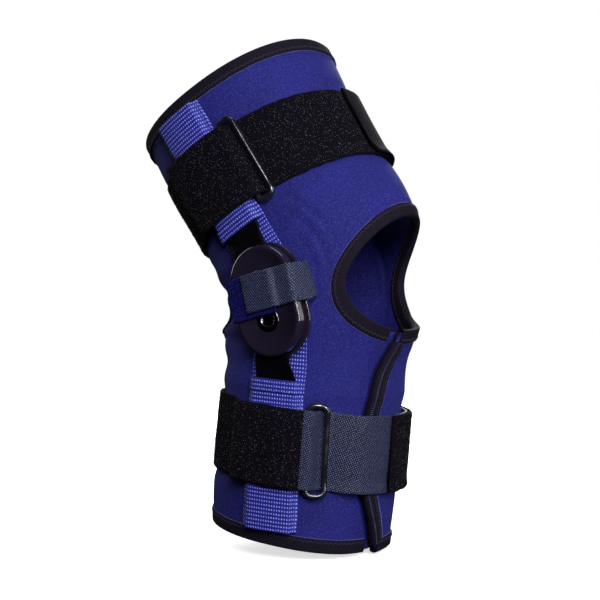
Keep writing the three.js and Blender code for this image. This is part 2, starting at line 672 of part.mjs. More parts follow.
// The two tabs that hold a hinge down: a pile tab from behind and a hook tab from the front over it.
// Each starts on the wrap under the back plate, turns up round the edge and lies on the cover.
function buildHingeTab(side, dir, middle, width, cover) {
  const frame = hingeFrame(side);
  const half = width / 2;
  const onLimb = (q, x, h) => {
    const { rise } = spread(sideAngle(dir * x, middle, side), middle);
    const s = middle + q / rise;
    return place(sideAngle(dir * x, s, side), s, h);
  };
  const sewn = (x) => (q, up) => onLimb(q, x, TAPE_LOW + HOOK_THICKNESS - up);
  const risen = (x) => (q, up) => onLimb(q, x + up, TAPE_LOW + HOOK_THICKNESS + LAYER);
  const onHinge = (p, w, tilt) => (q, up) =>
    frame.at(dir * (p + up * Math.sin(tilt)), middle + q, w + up * Math.cos(tilt));
  const radius = COVER_WIDTH / 2;
  const edge = radius + PLATE_MARGIN + LAYER;
  const bevel = COVER_BEVEL + LAYER;
  const turned = [80, 55, 30, 5].map((degrees) => {
    const tilt = radians(degrees);
    const p = radius - COVER_BEVEL + bevel * Math.sin(tilt);
    return onHinge(p, COVER_TOP - COVER_BEVEL + bevel * Math.cos(tilt), tilt);
  });
  const onCover = cover.map(([p, rise]) => onHinge(p, COVER_TOP + LAYER + rise, 0));
  const foot = edge - HOOK_THICKNESS;
  const stations = [
    ...[foot - TAB_FOOT, foot].map(sewn),
    risen(edge),
    onHinge(edge, 0, radians(88)),
    onHinge(edge, BAR_LOW, radians(86)),
    ...turned,
    ...onCover,
  ];
  const rings = stations.map((spot) => [
    spot(-half, 0),
    spot(half, 0),
    spot(half, HOOK_THICKNESS),
    spot(-half, HOOK_THICKNESS),
  ]);
  return loft(rings, [
    [0, 2, 1],
    [0, 3, 2],
  ]);
}

function addHingeTabs(side, label) {
  const lapped = HOOK_THICKNESS + LAYER;
  const pile = buildHingeTab(side, -1, LOOP_TAB_AT, LOOP_TAB_WIDTH, [[-LOOP_TAB_END, 0]]);
  const hookOnCover = [
    [LOOP_TAB_END + 5, 0],
    [LOOP_TAB_END + 1, lapped],
    [HOOK_TAB_END, lapped],
  ];
  const hook = buildHingeTab(side, 1, HOOK_TAB_AT, HOOK_TAB_WIDTH, hookOnCover);
  add("hinge_loop_" + label, pile, PILE_BLUE);
  add("hinge_hook_" + label, hook, HOOK_GREY);
}

// Distance in front of the side line of a point at an angle
function sideX(angle, s) {
  const c = Math.cos(angle);
  const run = Math.sign(c) * Math.abs(c) ** (2 / OVAL_POWER);
  return column(SECTIONS, "ahead", s) + (column(SECTIONS, "halfDepth", s) + WALL) * run;
}

const strapDrop = (angle) => STRAP_DROP * (0.5 + 0.5 * Math.cos(angle)) ** 2;
const REAR_BAR_AHEAD = RING_AHEAD - RING_WIDTH + RING_WIRE;

// Share of the height that a strap gains over the pockets, and on the near side over a ring's rear bar
function overPocket(angle, s) {
  const x = sideX(angle, s);
  const near = Math.sin(angle) > 0;
  const half = TAPE_WIDTH / 2;
  const frontFoot = near ? RING_AHEAD - WIRE - 0.7 : half + STRAP_EASE;
  const frontTop = near ? REAR_BAR_AHEAD + 0.8 : half + 1;
  return smooth(x, -half - STRAP_EASE, -half - 1) * (1 - smooth(x, frontTop, frontFoot));
}

// Turns at which a strap's sections lie, closer where it climbs over a pocket or a ring
function strapTurns(s, from, to) {
  const half = TAPE_WIDTH / 2;
  const marks = [-half - STRAP_EASE, -half - STRAP_EASE / 2, -half - 1, -half / 2, 0, half / 2];
  marks.push(REAR_BAR_AHEAD - 2.5);
  marks.push(REAR_BAR_AHEAD + 0.8, REAR_BAR_AHEAD + 3);
  marks.push(RING_AHEAD - 4, RING_AHEAD - WIRE - 0.7, RING_AHEAD + 3);
  const turns = [from, to];
  for (const x of marks) {
    const near = sideAngle(x, s, 1);
    turns.push(near, TURN - near);
  }
  for (let t = -50; t < 380; t += 9) {
    if (turns.every((mark) => Math.abs(mark - radians(t)) > radians(4))) turns.push(radians(t));
  }
  const sorted = turns.filter((t) => t >= from && t <= to).sort((a, b) => a - b);
  return sorted.filter((t, i) => i === 0 || t - sorted[i - 1] > radians(0.5));
}

// A strap round the limb at s, with its underside at low(turn)
function buildStrap(s, from, to, thickness, low) {
  const half = STRAP_WIDTH / 2;
  const at = (across, turn) => {
    const height = low(turn);
    return { angle: turn, s: s - strapDrop(turn) + across, low: height, high: height + thickness };
  };
  return layer([-half, half], strapTurns(s, from, to), at);
}

function addThighStrap() {
  const s = THIGH_STRAP_AT;
  const main = (turn) => STRAP_LOW + (STRAP_OVER - STRAP_LOW) * overPocket(turn, s);
  const lapped = STRAP_LOW + STRAP_THICKNESS + LAYER;
  const [from, to] = [radians(THIGH_STRAP_FROM), radians(THIGH_STRAP_TO)];
  add("thigh_strap", buildStrap(s, from, to, STRAP_THICKNESS, main), PILE_BLACK);
  const [lapFrom, lapTo] = [radians(THIGH_LAP_FROM), TURN + radians(LAP_END)];
  const end = buildStrap(s, lapFrom, lapTo, STRAP_THICKNESS, () => lapped);
  add("thigh_strap_end", end, BINDING_BLACK);
}

function addCalfStrap() {
  const s = -CALF_STRAP_AT;
  const gain = STRAP_OVER - STRAP_LOW;
  const edge = radians(Math.max(...FLAP_EDGE.map(({ past }) => past)));
  const overFlap = (a) => lapShare(a + TURN) * (1 - smooth(a, edge + radians(2), edge + radians(9)));
  const hook = (a) => STRAP_LOW + gain * Math.max(overFlap(a), overPocket(a, s));
  const hookStart = radians(FLAP_ROOT - 10);
  const hookEnd = sideAngle(4, s, 1);
  add("calf_strap_hook", buildStrap(s, hookStart, hookEnd, HOOK_THICKNESS, hook), HOOK_GREY);

  const step = HOOK_THICKNESS + LAYER;
  const pile = (turn) => {
    const onHook = 1 - smooth(turn, hookEnd + radians(1), hookEnd + radians(8));
    const lapped = smooth(turn - TURN, hookStart - radians(9), hookStart - radians(2));
    const flapShare = turn > Math.PI ? overFlap(turn - TURN) : 0;
    return STRAP_LOW + gain * Math.max(flapShare, overPocket(turn, s)) + step * (onHook + lapped);
  };
  const start = sideAngle(REAR_BAR_AHEAD - 3, s, 1);
  const end = TURN + radians(CALF_LAP_END);
  add("calf_strap", buildStrap(s, start, end, STRAP_THICKNESS, pile), PILE_BLACK);
}

// A wire loop through points that close on themselves
function wireLoop(points, radius, outward) {
  const count = points.length;
  const rings = points.map((point, i) => {
    const tangent = points[(i + 1) % count].clone().sub(points[(i + count - 1) % count]).normalize();
    const across = new THREE.Vector3().crossVectors(tangent, outward).normalize();
    const up = new THREE.Vector3().crossVectors(across, tangent);
    const around = range(6, 0, TURN).slice(0, -1);
    return around.map((t) =>
      point
        .clone()
        .addScaledVector(up, radius * Math.cos(t))
        .addScaledVector(across, radius * Math.sin(t)),
    );
  });
  return loft(rings, null);
}

// A ring round the strap at s, its front bar over the strap and its rear bar under it
function addRing(label, s, strapHigh) {
  const frontBar = strapHigh + GAP + WIRE;
  const halfLong = (RING_LENGTH - RING_WIRE) / 2;
  const [rear, front] = [REAR_BAR_AHEAD, RING_AHEAD];
  const drop = strapDrop(sideAngle(front, s, 1));
  const at = (x, up) => {
    const along = s - drop + up;
    const h = mix(REAR_BAR, frontBar, (x - rear) / (front - rear));
    return place(sideAngle(x, along, 1), along, h);
  };
  const points = [];
  const corners = [
    [front - RING_CORNER, halfLong - RING_CORNER],
    [rear + RING_CORNER, halfLong - RING_CORNER],
    [rear + RING_CORNER, -halfLong + RING_CORNER],
    [front - RING_CORNER, -halfLong + RING_CORNER],
  ];
  corners.forEach(([x, up], i) => {
    for (const t of range(3, (i * Math.PI) / 2, ((i + 1) * Math.PI) / 2)) {
      points.push(at(x + RING_CORNER * Math.cos(t), up + RING_CORNER * Math.sin(t)));
    }
  });
  const outward = new THREE.Vector3(0, -1, 0);
  add(label + "_ring", wireLoop(points, WIRE, outward), HINGE_BLACK);
  addRingTab(label, s - drop);
}

// Loop of thin tape that holds a ring's rear bar down, drawn to a sewn tail in front
function addRingTab(label, s) {
  const tail = [REAR_BAR_AHEAD + 4.6, TAPE_LOW + 0.5];
  const turns = range(12, 0, TURN).slice(0, -1);
  const rings = turns.map((t) => {
    const rim = (radius) => [REAR_BAR_AHEAD + radius * Math.cos(t), REAR_BAR + radius * Math.sin(t)];
    const low = t > 1.6 * Math.PI && t < 1.85 * Math.PI;
    const outer = low ? tail : rim(TAB_RADIUS);
    const spot = ([x, h], up) => place(sideAngle(x, s + up, 1), s + up, h);
    const half = RING_TAB_WIDTH / 2;
    const inner = rim(WIRE + GAP);
    return [spot(inner, -half), spot(inner, half), spot(outer, half), spot(outer, -half)];
  });
  add("ring_tab_" + label, loft(rings, null), PILE_BLACK);
}

add("sleeve", buildSleeve(), NAVY_NEOPRENE);
for (const [name, edge] of Object.entries(boundEdges())) {
  add(name, buildBinding(edge), BINDING_BLACK);
}
for (const [side, label] of [
  [1, "near"],
  [-1, "far"],
]) {
  addSideTapes(side, label);
  addHinge(side, label);
  addHingeTabs(side, label);
}
addThighStrap();
addCalfStrap();
addRing("thigh", THIGH_STRAP_AT, STRAP_LOW + STRAP_THICKNESS);
addRing("calf", -CALF_STRAP_AT, STRAP_LOW + HOOK_THICKNESS);

export default brace;
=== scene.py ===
"""Looks of the hinged knee brace: every cloth, tape, hinge and ring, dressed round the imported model."""

import logging
import math
from dataclasses import dataclass, field
from enum import Enum
from typing import Callable, Optional, Sequence

import bmesh
import bpy
import numpy as np
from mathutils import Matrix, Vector


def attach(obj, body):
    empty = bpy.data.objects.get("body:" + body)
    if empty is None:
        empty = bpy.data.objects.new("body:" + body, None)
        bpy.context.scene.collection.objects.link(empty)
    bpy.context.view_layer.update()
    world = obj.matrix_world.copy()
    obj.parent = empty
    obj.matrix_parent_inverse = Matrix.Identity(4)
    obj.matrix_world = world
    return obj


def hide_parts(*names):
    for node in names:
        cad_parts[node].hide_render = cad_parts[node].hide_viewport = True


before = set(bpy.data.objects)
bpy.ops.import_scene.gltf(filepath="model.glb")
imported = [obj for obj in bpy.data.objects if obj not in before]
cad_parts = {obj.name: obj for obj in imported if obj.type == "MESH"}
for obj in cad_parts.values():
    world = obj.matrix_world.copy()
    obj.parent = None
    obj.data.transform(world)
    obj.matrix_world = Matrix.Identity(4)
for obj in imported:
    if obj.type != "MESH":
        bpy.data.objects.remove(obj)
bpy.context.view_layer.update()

logging.basicConfig(level=logging.INFO, format="%(message)s")
log = logging.getLogger("knee_brace")

Array = np.ndarray
Piece = bpy.types.Object
Tree, Node, Socket = bpy.types.NodeTree, bpy.types.Node, bpy.types.NodeSocket
TURN = 2 * math.pi
MM = 0.001
CLOTH_UV = "cloth_mm"


class Side(Enum):
    """A side of the brace: near carries the rings, far is its plain twin."""

    NEAR = 1
    FAR = -1

    @property
    def label(self) -> str:
        """The word that ends the names of this side's nodes."""
        return self.name.lower()


class Half(Enum):
    """The half of the limb that a bar, a pocket or a strap belongs to."""

    THIGH = 1
    CALF = -1

    @property
    def label(self) -> str:
        """The word used in the names of this half's nodes."""
        return self.name.lower()


def smooth(value: Array | float, low: float, high: float) -> Array:
    """Smooth step from 0 at low to 1 at high.

    Args:
        value: Number or array to step.
        low: Where the step starts.
        high: Where the step ends.

    Returns:
        The step's value.
    """
    t = np.clip((np.asarray(value, float) - low) / (high - low), 0, 1)
    return t * t * (3 - 2 * t)


def bump(value: Array | float, centre: float, spread: float) -> Array:
    """A bell of height 1 at centre."""
    return np.exp(-(((np.asarray(value, float) - centre) / spread) ** 2))


def curve_value(at: Array, value: Array, s: Array | float) -> Array:
    """Smooth curve through the points of a table.

    Args:
        at: Rising places of the table's rows.
        value: The table's values.
        s: Places to read.

    Returns:
        The curve's values at s.
    """
    s = np.asarray(s, float)
    last = len(at) - 2
    k = np.clip(np.searchsorted(at, s, side="right") - 1, 0, last)
    before, after = np.maximum(k - 1, 0), np.minimum(k + 2, last + 1)
    span = at[k + 1] - at[k]
    u = np.clip((s - at[k]) / span, 0, 1)
    m1 = span * (value[k + 1] - value[before]) / (at[k + 1] - at[before])
    m2 = span * (value[after] - value[k]) / (at[after] - at[k])
    rise = (2 * u**3 - 3 * u**2 + 1) * value[k] + (u**3 - 2 * u**2 + u) * m1
    return rise + (-2 * u**3 + 3 * u**2) * value[k + 1] + (u**3 - u**2) * m2


@dataclass(frozen=True)
class LimbForm:
    """The curved form that the brace is built on. Lengths are in millimetres, leans and angles in degrees.

    A spot is an angle round the limb, from the front (0) over the near side (90), a length s along it
    from the hinges, and a height h out from the hollow.
    """

    thigh_reach: float = 145.0
    calf_reach: float = 158.0
    thigh_lean: float = 31.5
    calf_lean: float = -4.5
    bend_length: float = 56.0
    back_rise: float = 9.0
    thigh_size: tuple[float, float] = (130.0, 120.0)
    knee_size: tuple[float, float] = (120.0, 114.0)
    calf_size: tuple[float, float] = (107.0, 110.0)
    oval_power: float = 2.25
    wall: float = 3.0
    gap: float = 0.35
    layer: float = 0.9
    tape: float = 1.1
    binding_tape: float = 1.0
    strap_width: float = 50.0
    thigh_strap_at: float = 87.5
    calf_strap_at: float = 89.0
    strap_drop: float = 5.5
    strap_pinch: float = 1.6
    crease_depth: float = 1.1
    patella_half_angle: float = 59.0
    patella_top: float = 20.0
    patella_bottom: float = 21.0
    patella_flare: float = 3.5
    back_half_angle: float = 31.0
    back_top: float = 17.0
    back_bottom: float = 21.0
    back_flare: float = 5.0
    flare_reach: float = 15.0
    flap_root: float = -46.0
    flap_clear: float = -12.0
    flap_gape: float = 3.5

    @property
    def sections(self) -> dict[str, Array]:
        """Places and sizes of the hollow's sections: s, ahead, half_depth and half_width."""
        calf, knee, thigh = (self.calf_reach, *self.calf_size), (1.0, *self.knee_size), (
            self.thigh_reach, *self.thigh_size
        )
        rows = [
            (calf, -1.03, -0.049, 0.955, 0.945),
            (calf, -0.84, -0.05, 0.995, 0.97),
            (calf, -0.63, -0.043, 1.0, 1.0),
            (calf, -0.41, -0.033, 0.99, 1.015),
            (calf, -0.2, -0.013, 0.97, 1.015),
            (knee, 0.0, 0.067, 1.0, 1.0),
            (thigh, 0.24, 0.12, 1.0, 0.967),
            (thigh, 0.48, 0.119, 0.983, 1.0),
            (thigh, 0.72, 0.122, 1.0, 1.033),
            (thigh, 1.0, 0.134, 1.015, 1.06),
        ]
        table = [
            (along * of[0], ahead * of[1], depth * of[1] / 2, width * of[2] / 2)
            for of, along, ahead, depth, width in rows
        ]
        return dict(zip(("s", "ahead", "half_depth", "half_width"), np.array(table).T))

    def column(self, name: str, s: Array | float) -> Array:
        """One size of the hollow's section at s."""
        table = self.sections
        return curve_value(table["s"], table[name], s)

    @property
    def mid_lean(self) -> float:
        """Lean at the hinges, in radians."""
        return math.radians((self.thigh_lean + self.calf_lean) / 2)

    @property
    def tape_low(self) -> float:
        """Height of the underside of tape that lies on the wrap."""
        return self.wall + self.layer

    @property
    def tape_high(self) -> float:
        """Height of the top of the side tape."""
        return self.tape_low + self.tape

    @property
    def lap(self) -> float:
        """Rise of the flap onto the panel under it."""
        return self.wall + self.binding_tape + 2 * self.layer

    def relief(self, angle: Array, s: Array) -> Array:
        """Height of the places where the wrap stands off or is drawn in."""
        a = np.arctan2(np.sin(angle), np.cos(angle))
        side, behind = np.abs(a), math.pi - np.abs(a)
        half = self.strap_width / 2
        rise = 0.0
        for at in (self.thigh_strap_at, -self.calf_strap_at):
            rise = rise - self.strap_pinch * (1 - smooth(np.abs(s - at), half - 4, half + 8))
        rise = rise * (1 - bump(side, math.radians(100), 0.5))
        rise = rise + self.patella_flare * bump(s, self.patella_top, self.flare_reach) * bump(a, 0, 0.5)
        lip = bump(behind, math.radians(self.back_half_angle), 0.38)
        rise = rise + self.back_flare * bump(s, -self.back_bottom, self.flare_reach) * lip
        creases = bump(side, math.radians(72), 0.14) * bump(s, 32, 14)
        return rise + self.crease_depth * creases * np.sin((s + 26 * side) / 3.8)

    def place(self, angle: Array | float, s: Array | float, h: Array | float) -> Array:
        """Points of the brace, in millimetres, for spots that may be arrays.

        Args:
            angle: Angles round the limb, in radians.
            s: Lengths along the limb.
            h: Heights out from the hollow.

        Returns:
            An array with one point for each spot, in its last axis.
        """
        angle, s, h = np.broadcast_arrays(
            np.asarray(angle, float), np.asarray(s, float), np.asarray(h, float)
        )
        out = h + self.relief(angle, s)
        c, d = np.cos(angle), np.sin(angle)
        power = 2 / self.oval_power
        x = self.column("ahead", s) + (self.column("half_depth", s) + out) * np.sign(c) * np.abs(c) ** power
        y = (self.column("half_width", s) + out) * np.sign(d) * np.abs(d) ** power
        radius = self.bend_length / math.radians(self.thigh_lean - self.calf_lean)
        inside = np.clip(s, -self.bend_length / 2, self.bend_length / 2)
        lean, beyond = self.mid_lean + inside / radius, s - inside
        line_x = radius * (np.cos(lean) - math.cos(self.mid_lean)) - beyond * np.sin(lean)
        line_z = radius * (np.sin(lean) - math.sin(self.mid_lean)) + beyond * np.cos(lean)
        return np.stack([line_x + x * np.cos(lean), -y, line_z + x * np.sin(lean)], axis=-1)

    def spread(self, angle: Array, s: Array) -> tuple[Array, Array]:
        """Millimetres on the wrap for a radian of angle, and for a millimetre of s."""
        turn, run = 0.04, 4.0
        round_ = np.linalg.norm(
            self.place(angle + turn, s, self.wall) - self.place(angle - turn, s, self.wall), axis=-1
        )
        rise = np.linalg.norm(
            self.place(angle, s + run, self.wall) - self.place(angle, s - run, self.wall), axis=-1
        )
        return round_ / (2 * turn), rise / (2 * run)

    def side_angle(self, x: Array | float, s: Array | float, side: Side) -> Array:
        """The angle that lies x in front of the side line, at s."""
        rel = (x - self.column("ahead", s)) / (self.column("half_depth", s) + self.wall)
        c = np.sign(rel) * np.minimum(1, np.abs(rel)) ** (self.oval_power / 2)
        return side.value * np.arccos(c)

    def side_x(self, angle: Array, s: Array | float) -> Array:
        """Distance in front of the side line of the spot at an angle."""
        c = np.cos(angle)
        run = np.sign(c) * np.abs(c) ** (2 / self.oval_power)
        return self.column("ahead", s) + (self.column("half_depth", s) + self.wall) * run

    def rim_drop(self, angle: Array) -> Array:
        """s of the bottom rim, which climbs at the back."""
        return -self.calf_reach + self.back_rise * (0.5 - 0.5 * np.cos(angle))

    def flap_past(self, s: Array | float) -> Array:
        """Angle past the front at which the flap's free edge lies, in radians."""
        at = np.array([-1.0, -0.9, -0.8, -0.66, -0.41, -0.28, -0.13]) * self.calf_reach
        past = np.array([8.0, 14.5, 21.5, 28.5, 24.5, 20.0, 9.5])
        return np.radians(curve_value(at, past, s))

    def patella_edge(self, angle: Array) -> Array:
        """s of the lower edge of the patella opening."""
        share = np.clip(np.asarray(angle) / math.radians(self.patella_half_angle), -1, 1)
        return -self.patella_bottom * np.sqrt(1 - share**2)

    def lap_share(self, turn: Array) -> Array:
        """How far a turn has climbed from one panel of the calf cuff onto the other."""
        return smooth(turn - TURN, math.radians(self.flap_root + 3), math.radians(self.flap_clear))

    def lift(self, turn: Array, s: Array) -> Array:
        """Rise of the flap above the panel under it."""
        past = np.clip((turn - TURN) / math.radians(28), 0, 1)
        ends = bump(s, -0.13 * self.calf_reach, 26) + bump(s, -self.calf_reach, 30)
        return self.lap * self.lap_share(turn) + self.flap_gape * past**2 * ends

    def strap_lowering(self, angle: Array) -> Array:
        """How much lower a strap runs towards the front."""
        return self.strap_drop * (0.5 + 0.5 * np.cos(angle)) ** 2


def mesh_object(name: str, points: Array, faces: Sequence, corner_uv: Optional[Array] = None) -> Piece:
    """Makes a smooth-shaded mesh object from points in millimetres.

    Args:
        name: Name of the piece.
        points: Points, one a row.
        faces: Faces as point numbers.
        corner_uv: UV in millimetres for each corner of each face, in order.

    Returns:
        The new object, linked into the scene.
    """
    mesh = bpy.data.meshes.new(name)
    mesh.from_pydata((np.asarray(points, float).reshape(-1, 3) * MM).tolist(), [], [list(f) for f in faces])
    if corner_uv is not None:
        layer = mesh.uv_layers.new(name=CLOTH_UV)
        layer.uv.foreach_set("vector", np.asarray(corner_uv, np.float32).ravel())
    mesh.validate()
    mesh.polygons.foreach_set("use_smooth", [True] * len(mesh.polygons))
    obj = bpy.data.objects.new(name, mesh)
    bpy.context.scene.collection.objects.link(obj)
    return obj


def face_outwards(obj: Piece, crisp: Optional[float] = None) -> Piece:
    """Turns the faces of a closed mesh out, and marks edges sharper than crisp degrees."""
    work = bmesh.new()
    work.from_mesh(obj.data)
    bmesh.ops.recalc_face_normals(work, faces=work.faces)
    work.to_mesh(obj.data)
    work.free()
    if crisp is not None:
        obj.data.set_sharp_from_angle(angle=math.radians(crisp))
    return obj


def lengths(points: Array) -> Array:
    """Length run from the first point to each point of a line."""
    steps = np.linalg.norm(np.diff(points, axis=0), axis=-1)
    return np.concatenate([[0.0], np.cumsum(steps)])


def loft(name: str, rings: Array, run_closed: bool = False, crisp: Optional[float] = None) -> Piece:
    """Joins closed rings of points into one solid piece with a UV in millimetres.

    Args:
        name: Name of the piece.
        rings: Points by ring and place on the ring, in millimetres.
        run_closed: Whether the last ring joins the first. Otherwise both ends are capped.
        crisp: Edges sharper than this many degrees shade as edges.

    Returns:
        The new object.
    """
    rows, cols = rings.shape[:2]
    middle = rings[rows // 2]
    across = lengths(np.vstack([middle, middle[:1]]))
    centre = rings.mean(axis=1)
    along = lengths(np.vstack([centre, centre[:1]]) if run_closed else centre)
    spans = rows if run_closed else rows - 1
    i, j = np.meshgrid(np.arange(spans), np.arange(cols), indexing="ij")
    up, over = (i + 1) % rows, (j + 1) % cols
    faces = np.stack([i * cols + j, i * cols + over, up * cols + over, up * cols + j], axis=-1).reshape(-1, 4)
    u = across[np.stack([j, j + 1, j + 1, j], axis=-1)]
    v = along[np.stack([i, i, i + 1, i + 1], axis=-1)]
    corner_uv = np.stack([u, v], axis=-1).reshape(-1, 2)
    faces = faces.tolist()
    if not run_closed:
        faces += [list(range(cols))[::-1], [(rows - 1) * cols + k for k in range(cols)]]
        ends = [np.full((cols, 2), 0.5), np.full((cols, 2), 0.5)]
        corner_uv = np.vstack([corner_uv, *ends])
    return face_outwards(mesh_object(name, rings, faces, corner_uv), crisp)


def band_profile(width: float, thickness: float, columns: int, corner: float = 0.5) -> Array:
    """Closed outline of a strap's section, flat side down, as places across and heights.

    Args:
        width: Width of the strap.
        thickness: Its thickness.
        columns: Steps across each face.
        corner: Corner radius as a share of the thickness.

    Returns:
        The outline's points.
    """
    half, radius = width / 2, thickness * corner
    flat = np.linspace(-(half - radius), half - radius, columns + 1)
    turns = np.linspace(0, math.pi / 2, 4)[1:]
    right_low = [(half - radius + radius * math.sin(t), radius - radius * math.cos(t)) for t in turns]
    right_high = [
        (half - radius + radius * math.cos(t), thickness - radius + radius * math.sin(t)) for t in turns[:-1]
    ]
    left_high = [
        (-half + radius - radius * math.sin(t), thickness - radius + radius * math.cos(t)) for t in turns
    ]
    left_low = [(-half + radius - radius * math.cos(t), radius - radius * math.sin(t)) for t in turns[:-1]]
    bottom, top = [(x, 0.0) for x in flat], [(x, thickness) for x in flat[::-1]]
    return np.array([*bottom, *right_low, *right_high, *top, *left_high, *left_low])


def refine(rings: Array, steps: int) -> Array:
    """Rings on a smooth curve through the given ones, with steps new rings for each span."""
    at = np.arange(len(rings), dtype=float)
    flat = rings.reshape(len(rings), -1)
    fine = np.linspace(0, len(rings) - 1, (len(rings) - 1) * steps + 1)
    values = np.stack([curve_value(at, column, fine) for column in flat.T], axis=-1)
    return values.reshape(len(fine), *rings.shape[1:])


def tree_node(tree: Tree, kind: str, settings: dict | None = None, links: dict | None = None) -> Node:
    """Adds a node with its settings and links.

    Args:
        tree: The tree that gets the node.
        kind: Blender's type name of the node.
        settings: Attributes of the node by name, and input values by socket name or number.
        links: The output socket that feeds each input, by the input's name or number.

    Returns:
        The new node.
    """
    node = tree.nodes.new(kind)
    for key, value in (settings or {}).items():
        if isinstance(key, str) and hasattr(node, key):
            setattr(node, key, value)
        else:
            node.inputs[key].default_value = value
    for key, socket in (links or {}).items():
        tree.links.new(socket, node.inputs[key])
    return node


def maths(tree: Tree, operation: str, *values: float | Socket) -> Node:
    """Adds a math node whose inputs are numbers or sockets."""
    linked = {k: value for k, value in enumerate(values) if isinstance(value, Socket)}
    fixed = {k: value for k, value in enumerate(values) if k not in linked}
    return tree_node(tree, "ShaderNodeMath", {"operation": operation, **fixed}, linked)


def linear(code: str, alpha: float = 1.0) -> tuple[float, float, float, float]:
    """Linear colour of an sRGB hex code."""
    parts = [int(code[k : k + 2], 16) / 255 for k in (1, 3, 5)]
    r, g, b = (c / 12.92 if c <= 0.04045 else ((c + 0.055) / 1.055) ** 2.4 for c in parts)
    return (r, g, b, alpha)


@dataclass(frozen=True)
class Finish:
    """A finish of one kind of piece. Subclasses draw its pattern."""

    name: str
    colour: str
    roughness: float
    sheen: float = 0.0
    sheen_colour: str = "#FFFFFF"
    metallic: float = 0.0
    shine: float = 0.12

    def make(self) -> bpy.types.Material:
        """The finish as a material, made once."""
        known = bpy.data.materials.get(self.name)
        if known:
            return known
        material = bpy.data.materials.new(self.name)
        material.use_nodes = True
        tree = material.node_tree
        shader = tree.nodes["Principled BSDF"]
        constants = {
            "Base Color": linear(self.colour), "Roughness": self.roughness, "Metallic": self.metallic,
            "Specular IOR Level": self.shine, "Sheen Weight": self.sheen, "Sheen Roughness": 0.45,
            "Sheen Tint": linear(self.sheen_colour),
        }
        for socket, value in constants.items():
            shader.inputs[socket].default_value = value
        material.diffuse_color = linear(self.colour)
        self.draw(tree, shader)
        return material

    def draw(self, tree: Tree, shader: Node) -> None:
        """Draws the pattern. A plain finish has none."""

    def cloth_place(self, tree: Tree, scale: tuple[float, float, float], slant: float = 0.0) -> Socket:
        """UV in millimetres times a scale, turned by slant, so that a pattern follows the cloth."""
        uv = tree_node(tree, "ShaderNodeUVMap", {"uv_map": CLOTH_UV})
        mapping = {"Scale": scale, "Rotation": (0.0, 0.0, slant)}
        return tree_node(tree, "ShaderNodeMapping", mapping, {"Vector": uv.outputs["UV"]}).outputs["Vector"]

    def object_place(self, tree: Tree, scale: float) -> Socket:
        """Object coordinates in millimetres times a scale."""
        spot = tree_node(tree, "ShaderNodeTexCoord")
        mapping = {"Scale": (scale / MM, scale / MM, scale / MM)}
        return tree_node(
            tree, "ShaderNodeMapping", mapping, {"Vector": spot.outputs["Object"]}
        ).outputs["Vector"]

    def blend(self, tree: Tree, share: Socket, low: str, high: str,
              start: float, end: float) -> Socket:
        """Colour that goes from low to high as share goes from start to end."""
        ramp = tree_node(tree, "ShaderNodeValToRGB", {}, {"Fac": share})
        ramp.color_ramp.elements[0].position = start
        ramp.color_ramp.elements[0].color = linear(low)
        ramp.color_ramp.elements[1].position = end
        ramp.color_ramp.elements[1].color = linear(high)
        return ramp.outputs["Color"]

    def relief(self, tree: Tree, shader: Node, height: Socket,
               depth: float, strength: float = 1.0) -> None:
        """Bump of a depth in millimetres on the shader."""
        settings = {"Strength": strength, "Distance": depth * MM}
        node = tree_node(tree, "ShaderNodeBump", settings, {"Height": height})
        tree.links.new(node.outputs["Normal"], shader.inputs["Normal"])


@dataclass(frozen=True)
class Jersey(Finish):
    """Nylon jersey laminated on neoprene foam: a fine knit that shows as a speckle of lit loops."""

    light: str = "#5A5CC0"
    dark: str = "#15133F"
    loop: float = 1.0  # mm; the real knit is half as coarse, which would not show

    def draw(self, tree: Tree, shader: Node) -> None:
        """Loops of the knit, their tips painted light as highlights, and slow changes of shade from stretch.
        """
        place = self.cloth_place(tree, (1 / self.loop, 1 / (0.8 * self.loop), 1))
        loops = tree_node(tree, "ShaderNodeTexVoronoi", {"Scale": 1.0, "Randomness": 0.75}, {"Vector": place})
        # Painted highlight: the light colour at each loop's centre stands in for light caught on the tops of
        # the knit's loops.
        tint = self.blend(tree, loops.outputs["Distance"], self.light, self.colour, 0.0, 0.42)
        slow_place = self.cloth_place(tree, (0.035, 0.035, 1))
        slow = tree_node(tree, "ShaderNodeTexNoise", {"Scale": 1.0, "Detail": 3.0}, {"Vector": slow_place})
        wear = self.blend(tree, slow.outputs["Fac"], self.dark, self.colour, 0.25, 0.62)
        mix = tree_node(tree, "ShaderNodeMix", {"data_type": "RGBA", "blend_type": "MIX", 0: 0.35})
        tree.links.new(tint, mix.inputs[6])
        tree.links.new(wear, mix.inputs[7])
        tree.links.new(mix.outputs[2], shader.inputs["Base Color"])
        self.relief(tree, shader, loops.outputs["Distance"], 0.12, 0.6)


